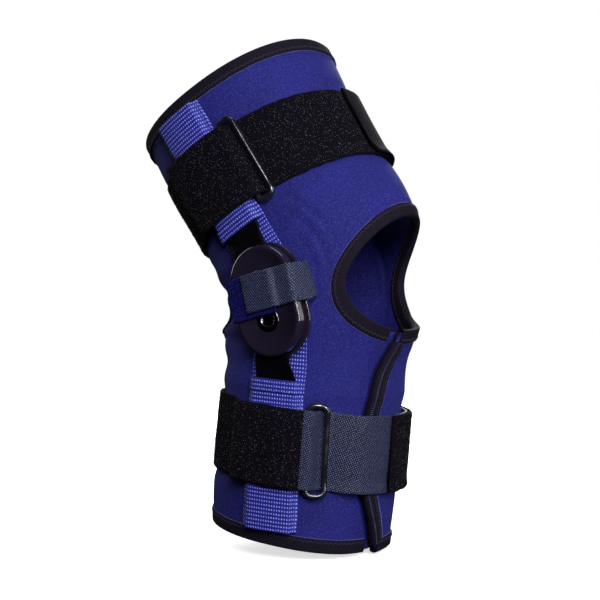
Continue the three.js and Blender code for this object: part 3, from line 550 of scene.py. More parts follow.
@dataclass(frozen=True)
class Weave(Finish):
    """Woven tape: threads across and along, with light thread tops."""

    light: str = "#6A70D8"
    dark: str = "#12143A"
    pitch: tuple[float, float] = (1.2, 2.5)  # mm across and along
    depth: float = 0.2
    fuzz: float = 0.25
    slant: float = 0.0  # radians between the threads and the tape's length

    def draw(self, tree: Tree, shader: Node) -> None:
        """Thread tops in rows, with uneven shade."""
        place = self.cloth_place(tree, (TURN / self.pitch[0], TURN / self.pitch[1], 1), self.slant)
        parts = tree_node(tree, "ShaderNodeSeparateXYZ", {}, {"Vector": place})
        waves = []
        for axis in ("X", "Y"):
            wave = maths(tree, "COSINE", parts.outputs[axis])
            waves.append(maths(tree, "MULTIPLY_ADD", wave.outputs[0], 0.5, 0.5))
        tops = maths(tree, "MULTIPLY", waves[0].outputs[0], waves[1].outputs[0])
        fine_place = self.cloth_place(tree, (1.1, 1.1, 1))
        noise = tree_node(tree, "ShaderNodeTexNoise", {"Scale": 1.0, "Detail": 4.0}, {"Vector": fine_place})
        # The noise is centred, so that more fuzz makes the threads less even and not lighter.
        uneven = maths(tree, "MULTIPLY_ADD", noise.outputs["Fac"], self.fuzz, 0.125 - self.fuzz / 2)
        share = maths(tree, "ADD", uneven.outputs[0], tops.outputs[0])
        ramp = tree_node(tree, "ShaderNodeValToRGB", {}, {"Fac": share.outputs[0]})
        ramp.color_ramp.elements[0].position = 0.2
        ramp.color_ramp.elements[0].color = linear(self.dark)
        ramp.color_ramp.elements[1].position = 0.9
        ramp.color_ramp.elements[1].color = linear(self.light)
        middle = ramp.color_ramp.elements.new(0.5)
        middle.color = linear(self.colour)
        tree.links.new(ramp.outputs["Color"], shader.inputs["Base Color"])
        self.relief(tree, shader, share.outputs[0], self.depth, 0.8)


@dataclass(frozen=True)
class Ribbed(Finish):
    """Ribbed webbing: smooth cords across, and rows of small bright thread crossings between them."""

    light: str = "#5C64CC"
    dark: str = "#0A0B30"
    pitch: tuple[float, float] = (1.7, 2.5)  # mm between crossings and between cords

    def draw(self, tree: Tree, shader: Node) -> None:
        """Crossings in the grooves, cords between them and an uneven shade over both."""
        place = self.cloth_place(tree, (TURN / self.pitch[0], TURN / self.pitch[1], 1))
        parts = tree_node(tree, "ShaderNodeSeparateXYZ", {}, {"Vector": place})
        groove = maths(tree, "COSINE", parts.outputs["Y"])
        knot = maths(tree, "COSINE", parts.outputs["X"])
        inside = tree_node(
            tree, "ShaderNodeMapRange", {1: 0.0, 2: -0.7, 3: 0.0, 4: 1.0}, {0: groove.outputs[0]}
        )
        bright = tree_node(
            tree, "ShaderNodeMapRange", {1: -0.1, 2: 0.75, 3: 0.0, 4: 1.0}, {0: knot.outputs[0]}
        )
        dots = maths(tree, "MULTIPLY", inside.outputs[0], bright.outputs[0])
        worn_place = self.cloth_place(tree, (0.9, 0.9, 1))
        worn = tree_node(tree, "ShaderNodeTexNoise", {"Scale": 1.0, "Detail": 4.0}, {"Vector": worn_place})
        cords = self.blend(tree, worn.outputs["Fac"], self.dark, self.colour, 0.25, 0.6)
        lit = tree_node(
            tree,
            "ShaderNodeMath",
            {"operation": "MULTIPLY", 1: 1.7, "use_clamp": True},
            {0: worn.outputs["Fac"]},
        )
        share = maths(tree, "MULTIPLY", dots.outputs[0], lit.outputs[0])
        mix = tree_node(
            tree,
            "ShaderNodeMix",
            {"data_type": "RGBA", 7: linear(self.light)},
            {0: share.outputs[0], 6: cords},
        )
        tree.links.new(mix.outputs[2], shader.inputs["Base Color"])
        self.relief(tree, shader, dots.outputs[0], 0.2, 0.7)


@dataclass(frozen=True)
class Pile(Finish):
    """Loop pile: a dull mat of fine loops in which single ones catch the light."""

    speck: str = "#8F8FA6"
    speck_share: float = 0.30
    loop: float = 0.9

    def draw(self, tree: Tree, shader: Node) -> None:
        """Mat of loops with a few lit ones."""
        place = self.cloth_place(tree, (1 / self.loop, 1 / self.loop, 1))
        mat = tree_node(
            tree, "ShaderNodeTexNoise", {"Scale": 1.6, "Detail": 5.0, "Roughness": 0.7}, {"Vector": place}
        )
        loops = tree_node(tree, "ShaderNodeTexVoronoi", {"Scale": 0.75, "Randomness": 1.0}, {"Vector": place})
        cells = tree_node(tree, "ShaderNodeSeparateColor", {}, {"Color": loops.outputs["Color"]})
        # Painted highlight: the pale speck colour marks the loops that would catch the light.
        lit = maths(tree, "LESS_THAN", cells.outputs["Red"], self.speck_share)
        near = maths(tree, "LESS_THAN", loops.outputs["Distance"], 0.24)
        dots = maths(tree, "MULTIPLY", lit.outputs[0], near.outputs[0])
        ground = self.blend(tree, mat.outputs["Fac"], "#050408", self.colour, 0.35, 0.7)
        mix = tree_node(
            tree,
            "ShaderNodeMix",
            {"data_type": "RGBA", 7: linear(self.speck)},
            {0: dots.outputs[0], 6: ground},
        )
        tree.links.new(mix.outputs[2], shader.inputs["Base Color"])
        self.relief(tree, shader, mat.outputs["Fac"], 0.7, 1.0)


@dataclass(frozen=True)
class Moulded(Finish):
    """Hard surface with a fine grain and faint marks of handling."""

    grain: float = 0.5
    depth: float = 0.02
    spread: float = 0.12

    def draw(self, tree: Tree, shader: Node) -> None:
        """Fine grain in the gloss and the surface."""
        place = self.object_place(tree, 1 / self.grain)
        grain = tree_node(tree, "ShaderNodeTexNoise", {"Scale": 1.0, "Detail": 3.0}, {"Vector": place})
        slow = tree_node(
            tree,
            "ShaderNodeTexNoise",
            {"Scale": 1.0, "Detail": 6.0},
            {"Vector": self.object_place(tree, 0.06)},
        )
        rough = tree_node(
            tree,
            "ShaderNodeMapRange",
            {1: 0.3, 2: 0.7, 3: self.roughness - self.spread, 4: self.roughness + self.spread},
            {0: slow.outputs["Fac"]},
        )
        tree.links.new(rough.outputs[0], shader.inputs["Roughness"])
        self.relief(tree, shader, grain.outputs["Fac"], self.depth, 0.6)


JERSEY = Jersey(
    "navy_jersey",
    "#18185A",
    0.8,
    sheen=0.05,
    sheen_colour="#8C90FF",
    shine=0.1,
    light="#4A4EAE",
    dark="#0C0C2C",
    loop=0.8,
)
BINDING = Weave("black_binding_tape", "#100C18", 0.85, shine=0.08, light="#231E30", dark="#060409",
                pitch=(0.9, 0.9), depth=0.12, fuzz=0.5)
WEBBING = Ribbed("blue_nylon_webbing", "#1E2078", 0.55, shine=0.15, light="#8A92F6", dark="#0E1044")
PILE = Pile("black_loop_pile", "#0C0A12", 0.95, shine=0.05, speck="#3A384A")
BLUE_PILE = Pile("blue_loop_pile", "#15135C", 0.95, shine=0.05, speck="#34369C")
HOOK_TAPE = Weave(
    "grey_hook_tape",
    "#141526",
    0.5,
    shine=0.1,
    light="#525A80",
    dark="#0A0A14",
    pitch=(1.3, 1.3),
    depth=0.12,
    fuzz=2.2,
    slant=0.5,
)
LAP_TAPE = Weave(
    "black_strap_end",
    "#0D0B12",
    0.85,
    shine=0.05,
    light="#1C1926",
    dark="#030204",
    pitch=(1.0, 1.0),
    depth=0.12,
    fuzz=0.5,
)
PLASTIC = Moulded("moulded_black_nylon", "#191422", 0.11, depth=0.003, spread=0.04, shine=0.7)
BAR_COAT = Moulded("black_coated_bar", "#040306", 0.5, grain=0.3, shine=0.05)
RIVET = Moulded("blackened_rivet", "#6A6A74", 0.2, metallic=1.0, depth=0.004, spread=0.05)
WIRE_COAT = Moulded("black_coated_wire", "#10101A", 0.22, grain=0.4, depth=0.006, shine=0.8)
LOOPS = Finish("black_pile_loops", "#09070D", 0.8, shine=0.04)
# Painted highlight: a pale copy of the loop finish, for loops drawn as lit.
LIT_LOOPS = Finish("painted_lit_pile_loops", "#8A889C", 0.6)
BLUE_LOOPS = Finish("blue_pile_loops", "#22227C", 0.7, shine=0.1)
BLACK_THREAD = Finish("black_thread", "#262232", 0.6)
BLUE_THREAD = Finish("light_blue_thread", "#5A619C", 0.55)


class Dresser:
    """Puts finished pieces on the model and reports each one."""

    def put(self, obj: Piece, finish: Finish, slot: str, nodes: Sequence[str] = ()) -> Piece:
        """Gives a piece its finish and its body.

        Args:
            obj: The finished piece.
            finish: Its finish.
            slot: Not used.
            nodes: The CAD nodes that it stands for.

        Returns:
            The piece.
        """
        obj.data.materials.clear()
        obj.data.materials.append(finish.make())
        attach(obj, "root")
        if nodes:
            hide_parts(*nodes)
        log.info("%s: %d faces, stands for %s", obj.name, len(obj.data.polygons), list(nodes) or "nothing")
        return obj


def lay(
    obj: Piece,
    hems: Sequence[Piece] = (),
) -> None:
    """Reads the UV of a tape or strap and of its hems, and keeps nothing.

    Args:
        obj: The lofted piece, whose UV runs along it in millimetres.
        hems: Its turned ends, where they are pieces of their own.
    """
    for piece in (obj, *hems):
        uv = np.empty(2 * len(piece.data.loops), np.float32)
        piece.data.uv_layers[CLOTH_UV].uv.foreach_get("vector", uv)


class NodeTool:
    """Geometry Nodes that make what repeats, as plain meshes."""

    @staticmethod
    def tree(name: str, inputs: dict[str, tuple[str, float]]) -> tuple[Tree, Node, Node]:
        """Starts a tree with a geometry socket and named inputs.

        Args:
            name: Name of the tree.
            inputs: Socket type and default of each input by name.

        Returns:
            The tree, its input node and its output node.
        """
        tree = bpy.data.node_groups.new(name, "GeometryNodeTree")
        tree.interface.new_socket("Geometry", in_out="INPUT", socket_type="NodeSocketGeometry")
        for label, (kind, default) in inputs.items():
            socket = tree.interface.new_socket(label, in_out="INPUT", socket_type=kind)
            socket.default_value = default
        tree.interface.new_socket("Geometry", in_out="OUTPUT", socket_type="NodeSocketGeometry")
        return tree, tree.nodes.new("NodeGroupInput"), tree.nodes.new("NodeGroupOutput")

    @staticmethod
    def finish(tree: Tree, out: Node, geometry: Socket, finish: Finish) -> None:
        """Ends a tree in real geometry with its material."""
        real = tree_node(tree, "GeometryNodeRealizeInstances", {}, {"Geometry": geometry})
        dressed = tree_node(
            tree, "GeometryNodeSetMaterial", {"Material": finish.make()}, {"Geometry": real.outputs[0]}
        )
        tree.links.new(dressed.outputs[0], out.inputs[0])

    @staticmethod
    def run(obj: Piece, tree: Tree, values: dict[str, float]) -> Piece:
        """Applies a tree to a piece and leaves a plain mesh.

        Args:
            obj: The piece that the tree works on.
            tree: The tree.
            values: Values of its named inputs.

        Returns:
            The same piece with its new mesh.
        """
        modifier = obj.modifiers.new(tree.name, "NODES")
        modifier.node_group = tree
        names = {item.name: item.identifier for item in tree.interface.items_tree if item.in_out == "INPUT"}
        for label, value in values.items():
            modifier[names[label]] = value
        graph = bpy.context.evaluated_depsgraph_get()
        plain = bpy.data.meshes.new_from_object(obj.evaluated_get(graph))
        obj.modifiers.clear()
        old, obj.data = obj.data, plain
        bpy.data.meshes.remove(old)
        return obj


@dataclass
class Stitching:
    """Rows of stitches. Each edge of a line mesh becomes one stitch of thread."""

    thread: float = 0.55
    share: float = 0.86
    rows: list[Array] = field(default_factory=list)

    def line(self, points: Array, pitch: float = 2.6, gap: float = 0.12) -> None:
        """Adds a straight row along a line.

        Args:
            points: Points of the line, in millimetres.
            pitch: Length of one stitch.
            gap: Share of the pitch that lies under the cloth.
        """
        run = lengths(points)
        count = max(2, int(run[-1] / pitch))
        for k in range(count):
            ends = np.array([k + gap, k + 1 - gap]) * run[-1] / count
            self.rows.append(np.stack([np.interp(ends, run, points[:, axis]) for axis in range(3)], axis=-1))

    def zigzag(self, left: Array, right: Array, pitch: float = 1.7) -> None:
        """Adds a zigzag row between two lines of the same run."""
        run = lengths((left + right) / 2)
        count = max(2, int(run[-1] / pitch))
        at = np.linspace(0, run[-1], count + 1)
        sides = [
            np.stack([np.interp(at, run, side[:, axis]) for axis in range(3)], axis=-1)
            for side in (left, right)
        ]
        for k in range(count):
            self.rows.append(np.array([sides[k % 2][k], sides[(k + 1) % 2][k + 1]]))

    def whip(self, left: Array, right: Array, pitch: float = 1.3) -> None:
        """Adds short stitches from one line to the other, side by side."""
        run = lengths((left + right) / 2)
        at = np.arange(0.5, run[-1], pitch)
        sides = [
            np.stack([np.interp(at, run, side[:, axis]) for axis in range(3)], axis=-1)
            for side in (left, right)
        ]
        self.rows += list(np.stack(sides, axis=1))

    def sew(self, name: str, finish: Finish) -> Piece:
        """Makes all rows one piece of thread.

        Args:
            name: Name of the piece.
            finish: The thread's finish.

        Returns:
            The piece.
        """
        points = np.vstack(self.rows)
        mesh = bpy.data.meshes.new(name)
        mesh.from_pydata((points * MM).tolist(), [(2 * k, 2 * k + 1) for k in range(len(self.rows))], [])
        obj = bpy.data.objects.new(name, mesh)
        bpy.context.scene.collection.objects.link(obj)
        tree, given, out = NodeTool.tree("stitches", {
            "Thread": ("NodeSocketFloat", self.thread * MM),
            "Share": ("NodeSocketFloat", self.share),
        })
        ends = tree_node(tree, "GeometryNodeInputMeshEdgeVertices")
        way = tree_node(tree, "ShaderNodeVectorMath", {"operation": "SUBTRACT"},
                        {0: ends.outputs["Position 2"], 1: ends.outputs["Position 1"]})
        kept = tree_node(
            tree,
            "GeometryNodeStoreNamedAttribute",
            {"data_type": "FLOAT_VECTOR", "domain": "EDGE", "Name": "way"},
            {"Geometry": given.outputs["Geometry"], "Value": way.outputs[0]},
        )
        spots = tree_node(tree, "GeometryNodeMeshToPoints", {"mode": "EDGES"}, {"Mesh": kept.outputs[0]})
        read = tree_node(
            tree, "GeometryNodeInputNamedAttribute", {"data_type": "FLOAT_VECTOR", "Name": "way"}
        )
        size = tree_node(tree, "ShaderNodeVectorMath", {"operation": "LENGTH"}, {0: read.outputs[0]})
        turn = tree_node(
            tree, "FunctionNodeAlignRotationToVector", {"axis": "Z"}, {"Vector": read.outputs[0]}
        )
        long = maths(tree, "MULTIPLY", size.outputs["Value"], given.outputs["Share"])
        scale = tree_node(tree, "ShaderNodeCombineXYZ", {},
                          {"X": given.outputs["Thread"], "Y": given.outputs["Thread"], "Z": long.outputs[0]})
        bead = tree_node(tree, "GeometryNodeMeshUVSphere", {"Segments": 6, "Rings": 5, "Radius": 0.5})
        copies = tree_node(
            tree,
            "GeometryNodeInstanceOnPoints",
            {},
            {
                "Points": spots.outputs[0],
                "Instance": bead.outputs[0],
                "Rotation": turn.outputs[0],
                "Scale": scale.outputs[0],
            },
        )
        NodeTool.finish(tree, out, copies.outputs[0], finish)
        obj = NodeTool.run(obj, tree, {"Thread": self.thread * MM, "Share": self.share})
        obj.data.polygons.foreach_set("use_smooth", [True] * len(obj.data.polygons))
        return obj


@dataclass(frozen=True)
class Ribbing:
    """Raised ribs across a tape, at an even pitch along its UV."""

    pitch: float = 2.5
    depth: float = 0.28

    def raise_on(self, obj: Piece, finish: Finish) -> Piece:
        """Raises the ribs on a tape.

        Args:
            obj: The tape, with fine enough rows for the ribs.
            finish: The tape's finish.

        Returns:
            The same piece, ribbed.
        """
        tree, given, out = NodeTool.tree("ribs", {
            "Pitch": ("NodeSocketFloat", self.pitch),
            "Depth": ("NodeSocketFloat", self.depth * MM),
        })
        uv = tree_node(
            tree, "GeometryNodeInputNamedAttribute", {"data_type": "FLOAT_VECTOR", "Name": CLOTH_UV}
        )
        parts = tree_node(tree, "ShaderNodeSeparateXYZ", {}, {"Vector": uv.outputs[0]})
        turns = maths(tree, "DIVIDE", parts.outputs["Y"], given.outputs["Pitch"])
        angle = maths(tree, "MULTIPLY", turns.outputs[0], TURN)
        wave = maths(tree, "COSINE", angle.outputs[0])
        height = maths(tree, "MULTIPLY", wave.outputs[0], given.outputs["Depth"])
        half = maths(tree, "MULTIPLY", height.outputs[0], 0.5)
        normal = tree_node(tree, "GeometryNodeInputNormal")
        push = tree_node(
            tree,
            "ShaderNodeVectorMath",
            {"operation": "SCALE"},
            {0: normal.outputs[0], "Scale": half.outputs[0]},
        )
        moved = tree_node(
            tree,
            "GeometryNodeSetPosition",
            {},
            {"Geometry": given.outputs["Geometry"], "Offset": push.outputs[0]},
        )
        NodeTool.finish(tree, out, moved.outputs[0], finish)
        return NodeTool.run(obj, tree, {"Pitch": self.pitch, "Depth": self.depth * MM})


@dataclass(frozen=True)
class LoopMat:
    """Fine standing loops, strewn over the outer face of a pile strap."""

    per_mm2: float = 0.3
    height: float = 0.75
    seed: int = 7

    def grow(self, base: Piece, name: str, finish: Finish) -> Piece:
        """Grows loops on a strap.

        Args:
            base: The strap.
            name: Name of the new piece.
            finish: The loops' finish.

        Returns:
            The loops as one piece.
        """
        obj = bpy.data.objects.new(name, base.data.copy())
        bpy.context.scene.collection.objects.link(obj)
        tree, given, out = NodeTool.tree("pile_loops", {
            "Density": ("NodeSocketFloat", self.per_mm2 / MM**2),
            "Height": ("NodeSocketFloat", self.height * MM),
            "Seed": ("NodeSocketInt", self.seed),
        })
        outer = tree_node(tree, "GeometryNodeInputNamedAttribute", {"data_type": "FLOAT", "Name": "pile"})
        spots = tree_node(
            tree,
            "GeometryNodeDistributePointsOnFaces",
            {},
            {
                "Mesh": given.outputs["Geometry"],
                "Seed": given.outputs["Seed"],
                "Density": given.outputs["Density"],
                "Selection": outer.outputs[0],
            },
        )
        arc = tree_node(
            tree, "GeometryNodeCurveArc", {"Resolution": 5, "Radius": 0.5, "Sweep Angle": math.radians(210)}
        )
        stand = tree_node(
            tree,
            "GeometryNodeTransform",
            {"Rotation": (math.radians(90), 0, 0)},
            {"Geometry": arc.outputs[0]},
        )
        thin = tree_node(tree, "GeometryNodeCurvePrimitiveCircle", {"Resolution": 3, "Radius": 0.11})
        loop = tree_node(
            tree, "GeometryNodeCurveToMesh", {}, {"Curve": stand.outputs[0], "Profile Curve": thin.outputs[0]}
        )
        tilt = tree_node(
            tree,
            "FunctionNodeRandomValue",
            {"data_type": "FLOAT_VECTOR", 0: (-0.7, -0.7, 0), 1: (0.7, 0.7, TURN)},
            {"Seed": given.outputs["Seed"]},
        )
        turned = tree_node(
            tree,
            "FunctionNodeRotateRotation",
            {"rotation_space": "LOCAL"},
            {0: spots.outputs["Rotation"], 1: tilt.outputs[0]},
        )
        scale = tree_node(
            tree,
            "FunctionNodeRandomValue",
            {"data_type": "FLOAT", 2: 0.6, 3: 1.3},
            {"Seed": given.outputs["Seed"]},
        )
        size = maths(tree, "MULTIPLY", scale.outputs[1], given.outputs["Height"])
        copies = tree_node(
            tree,
            "GeometryNodeInstanceOnPoints",
            {},
            {
                "Points": spots.outputs[0],
                "Instance": loop.outputs[0],
                "Rotation": turned.outputs[0],
                "Scale": size.outputs[0],
            },
        )
        NodeTool.finish(tree, out, copies.outputs[0], finish)
        values = {"Density": self.per_mm2 / MM**2, "Height": self.height * MM, "Seed": self.seed}
        return NodeTool.run(obj, tree, values)


@dataclass
class Wrap(Dresser):
    """The neoprene wrap: one sheet with two openings whose front flap laps over its own near panel."""

    form: LimbForm
    columns: int = 240
    rows: int = 168
    inner_edge: float = -11.0  # degrees, where the panel under the flap starts
    flap_reach: float = 29.0  # degrees past the front that the grid runs
    round_mm: float = 60.0  # cloth for a radian
    flat: tuple[float, float] = (0.40, 0.303)  # metres

    def folds(self, turn: Array, s: Array) -> Array:
        """Soft folds of the worn cloth, in millimetres out from its plain form."""
        a = np.arctan2(np.sin(turn), np.cos(turn))
        side, behind = np.abs(a), math.pi - np.abs(a)
        free = smooth(
            np.abs(s - self.form.thigh_strap_at + 3), 24, 34
        ) * smooth(np.abs(s + self.form.calf_strap_at + 2), 26, 34)
        free = free * smooth(s, -150, -138) * (1 - smooth(s, 128, 138))
        # Drawn from above the hinge down towards the patella opening
        opening = (side / math.radians(self.form.patella_half_angle)) ** 2 + (s / self.form.patella_top) ** 2
        drawn = bump(side, math.radians(70), 0.15) * bump(s, 22, 26) * smooth(opening, 1.25, 1.7)
        rise = 1.3 * drawn * (np.abs(np.sin((57 * side - 0.3 * s + 2 * np.sin(s / 11)) / 2.6)) ** 0.7 - 0.6)
        # Bunched behind the knee, where the wrap is bent short
        back = bump(behind, 0.0, 0.95) * (bump(s, 33, 16) + bump(s, -38, 17))
        rise = rise + 1.1 * back * np.sin(s / 3.1 + 0.9 * np.sin(3 * a + 0.6) + 0.35 * np.sin(7 * a))
        # Slow unevenness of a sheet pulled round by hand
        slow = np.sin(2.3 * a + s / 31) * np.sin(s / 23 + 1.7 * np.sin(a)) + 0.5 * np.sin(5.1 * a - s / 17)
        calm = 1 - bump(side, math.radians(92), 0.42)
        return free * (rise + 0.45 * slow * calm)

    def build(self) -> None:
        """Builds the wrap with both faces and its cut edges."""
        form = self.form
        pitch = TURN / self.columns
        start = math.radians(self.inner_edge)
        extra = int(math.ceil((math.radians(self.flap_reach) - start) / pitch)) + 1
        turns = start + pitch * np.arange(self.columns + extra)
        shares = np.linspace(0, 1, self.rows + 1)
        low = form.rim_drop(turns)
        s = low[None, :] + shares[:, None] * (form.thigh_reach - low[None, :])
        turn = np.broadcast_to(turns[None, :], s.shape)
        below = s < 0
        lift = np.where(below, form.lift(turn, s), 0)
        drape = self.folds(turn, s) * np.where(below & (turn > TURN + math.radians(form.flap_root)), 0, 1)
        drape = drape * np.where(below & (turn < math.radians(40)), 0, 1)
        uv = np.stack([turn * self.round_mm, s], axis=-1).reshape(-1, 2)

        count = len(turns)
        number = np.arange(s.size).reshape(s.shape)
        welded = np.where(~below & (np.arange(count)[None, :] >= self.columns), number - self.columns, number)
        a_all = turn - np.where(turn > math.pi, TURN, 0)

        def cell(grid: Array) -> Array:
            """Values at the four corners of each cell of the grid."""
            return np.stack([grid[:-1, :-1], grid[:-1, 1:], grid[1:, 1:], grid[1:, :-1]], axis=-1)

        quads, uv_quads = cell(welded), cell(number)

        kept = np.ones(quads.shape[:2], bool)
        up, centre = cell(s), cell(a_all)
        half_open = math.radians(form.patella_half_angle)
        reach = np.where(up > 0, form.patella_top, form.patella_bottom)
        kept &= ~(((centre / half_open) ** 2 + (up / reach) ** 2) < 1).any(axis=-1)
        behind = cell(np.broadcast_to(turns[None, :] - math.pi, s.shape))
        reach = np.where(up > 0, form.back_top, form.back_bottom)
        kept &= ~(((behind / math.radians(form.back_half_angle)) ** 2 + (up / reach) ** 2) < 1).any(axis=-1)
        past_full = (np.arange(count - 1) >= self.columns)[None, :]
        over = cell(turn) - TURN
        on_flap = (up < form.patella_edge(over)).all(axis=-1) & (over <= form.flap_past(up)).all(axis=-1)
        kept &= ~past_full | on_flap
        # The lower panel ends under the flap; above the patella opening the tube is whole
        crossing = (cell(below.astype(int)).min(axis=-1) != cell(below.astype(int)).max(axis=-1))
        kept &= ~(crossing & (np.abs(centre).max(axis=-1) < half_open))
        quads, uv_quads = quads[kept], uv_quads[kept]

        height = lift + drape
        outer = form.place(turn, s, form.wall + height).reshape(-1, 3)
        inner = form.place(turn, s, 0 + height).reshape(-1, 3)
        total = s.size
        edges = np.concatenate([quads[:, [k, (k + 1) % 4]] for k in range(4)])
        uv_edges = np.concatenate([uv_quads[:, [k, (k + 1) % 4]] for k in range(4)])
        _, first, times = np.unique(np.sort(edges, axis=1), axis=0, return_index=True, return_counts=True)
        rim, uv_rim = edges[first[times == 1]], uv_edges[first[times == 1]]
        walls = np.stack([rim[:, 1], rim[:, 0], rim[:, 0] + total, rim[:, 1] + total], axis=-1)
        uv_walls = uv_rim[:, [1, 0, 0, 1]]
        faces = np.vstack([quads, quads[:, ::-1] + total, walls])
        corner = np.vstack([uv_quads, uv_quads[:, ::-1], uv_walls])
        used, compact = np.unique(faces, return_inverse=True)
        points = np.vstack([outer, inner])[used]
        obj = mesh_object(
            "neoprene_wrap", points, compact.reshape(faces.shape).tolist(), uv[corner.reshape(-1)]
        )
        face_outwards(obj)
        self.put(obj, JERSEY, "neoprene", ["sleeve"])


@dataclass
class Edge:
    """A bound edge: its path over t, the places of t, and which side the cloth lies on."""

    path: Callable[[Array], tuple[Array, Array, Array]]
    ts: Array
    closed: bool
    inward: int

    def frame_at(self, form: LimbForm) -> tuple[Array, ...]:
        """Angle, s, lift and the two steps across the edge, at each t."""
        angle, s, lift = self.path(self.ts)
        step = 1e-3
        a0, s0, _ = self.path(self.ts - step)
        a1, s1, _ = self.path(self.ts + step)
        round_, rise = form.spread(angle, s)
        along = np.stack([(a1 - a0) * round_, (s1 - s0) * rise], axis=-1)
        along /= np.linalg.norm(along, axis=-1, keepdims=True)
        return angle, s, lift, -along[:, 1] * self.inward / round_, along[:, 0] * self.inward / rise


@dataclass
class Bindings(Dresser):
    """Folded black tape round each cut edge, zigzagged down along its inner side."""

    form: LimbForm
    width: float = 7.4
    stock: float = 20.0  # width of the tape before it is folded
    beside: float = 6.0  # degrees between two bindings that meet
    seam: tuple[float, float] = (4.4, 6.3)  # the zigzag's sides, from the cut edge
    threads: Stitching = field(default_factory=Stitching)
    edging: Stitching = field(default_factory=lambda: Stitching(thread=0.35, share=0.9))

    def edges(self) -> dict[str, Edge]:
        """The bound edges by the name of their node."""
        form = self.form
        half = math.radians(form.patella_half_angle)
        corner_low, corner_high = float(form.flap_past(-form.calf_reach)), float(
            form.flap_past(-form.patella_bottom)
        )
        beside = math.radians(self.beside)

        def patella_time(turn: float) -> float:
            """The t at which the patella opening's lower edge passes a turn."""
            return 1.5 * math.pi + math.asin(turn / half)

        def oval(centre: float, half_angle: float, top: float, bottom: float) -> Callable:
            """Path round an oval opening."""
            def path(t: Array) -> tuple[Array, Array, Array]:
                """Angle, s and lift at t."""
                up = np.sin(t)
                angle = centre + math.radians(half_angle) * np.cos(t)
                return angle, np.where(up > 0, up * top, up * bottom), np.zeros_like(t)
            return path

        open_path = oval(0, form.patella_half_angle, form.patella_top, form.patella_bottom)

        def patella(t: Array) -> tuple[Array, Array, Array]:
            """Path round the patella opening, onto the flap."""
            angle, s, _ = open_path(t)
            return angle, s, np.where(t > math.pi, form.lift(angle + TURN, s), 0)

        def free_edge(v: Array) -> tuple[Array, Array, Array]:
            """Path up the flap's free edge."""
            turn = TURN + form.flap_past(-form.calf_reach + v * (form.calf_reach - form.patella_bottom))
            low, high = form.rim_drop(turn), form.patella_edge(turn - TURN)
            s = low + v * (high - low)
            return turn, s, form.lift(turn, s)

        closed = np.linspace(0, TURN, 241)[:-1]
        return {
            "top_binding": Edge(
                lambda t: (t, np.full_like(t, form.thigh_reach), np.zeros_like(t)), closed, True, -1
            ),
            "popliteal_binding": Edge(
                oval(math.pi, form.back_half_angle, form.back_top, form.back_bottom), closed, True, -1
            ),
            "bottom_binding": Edge(
                lambda t: (t, form.rim_drop(t), form.lift(t, np.full_like(t, -form.calf_reach))),
                np.linspace(corner_low + beside, TURN + corner_low, 260),
                False,
                1,
            ),
            "patella_binding": Edge(
                patella,
                np.linspace(patella_time(corner_high + beside) - TURN, patella_time(corner_high), 260),
                False,
                -1,
            ),
            "flap_binding": Edge(free_edge, np.linspace(0.03, 0.97, 118), False, 1),
        }

    def section(self) -> Array:
        """Outline of the folded tape: its rounded fold, its two legs and their ends."""
        form, leg = self.form, self.binding_thickness
        low, high = -0.25, form.wall + 0.25
        middle, half = (low + high) / 2, (high - low) / 2
        turns = np.linspace(-math.pi / 2, math.pi / 2, 9)
        outer = [(-form.gap - 0.15 - 1.35 * math.cos(t), middle + (half + leg) * math.sin(t)) for t in turns]
        inner = [(-form.gap - 0.15 - 0.35 * math.cos(t), middle + half * math.sin(t)) for t in turns]
        legs = np.linspace(0.8, self.width - 0.3, 5)
        top = [(x, high + leg) for x in legs] + [(self.width, high + leg * 0.55)] + [(self.width - 0.1, high)]
        top_in = [(x, high) for x in legs[::-1][1:]]
        low_in = [(x, low) for x in legs[:-1]]
        bottom = [
            (self.width - 0.1, low), (self.width, low - leg * 0.55)
        ] + [(x, low - leg) for x in legs[::-1]]
        return np.array([*outer, *top, *top_in, *inner[::-1], *low_in, *bottom])

    @property
    def binding_thickness(self) -> float:
        """Thickness of the tape."""
        return self.form.binding_tape

    def strip(self, edge: Edge, across: float, h: float) -> Array:
        """Line that runs beside an edge.

        Args:
            edge: The bound edge.
            across: Distance from the cut edge.
            h: Height out from the hollow.

        Returns:
            Points in millimetres.
        """
        angle, s, lift, da, ds = edge.frame_at(self.form)
        line = self.form.place(angle + across * da, s + across * ds, lift + h)
        return np.vstack([line, line[:1]]) if edge.closed else line

    def build(self) -> None:
        """Builds the five bindings and their stitches."""
        form = self.form
        section = self.section()
        for name, edge in self.edges().items():
            angle, s, lift, da, ds = edge.frame_at(form)
            across, h = section[None, :, 0], section[None, :, 1]
            ripple = 0.12 * np.sin(np.arange(len(s)) * 0.9)[:, None] * np.clip(across / self.width, 0, 1)
            rings = form.place(
                angle[:, None] + across * da[:, None],
                s[:, None] + across * ds[:, None],
                lift[:, None] + h + ripple,
            )
            tape = loft(name.replace("_binding", "_edge_tape"), rings, run_closed=edge.closed)
            lay(self.put(tape, BINDING, "binding", [name]))
            top = form.wall + form.binding_tape + 0.38
            self.threads.zigzag(*(self.strip(edge, across, top) for across in self.seam))
            self.edging.line(self.strip(edge, self.width + 0.25, form.wall + 0.45), pitch=1.6, gap=0.06)
            if name == "flap_binding":
                self.edging.whip(
                    self.strip(edge, self.width - 0.6, top),
                    self.strip(edge, self.width + 1.6, form.wall + 0.5),
                )
                self.edging.whip(self.strip(edge, -0.9, top - 0.5), self.strip(edge, 1.4, top))
            inside = -form.binding_tape - 0.38
            self.threads.zigzag(*(self.strip(edge, across, inside) for across in self.seam), pitch=2.4)
        self.put(self.edging.sew("edge_tape_picots", BLUE_THREAD), BLUE_THREAD, "binding")


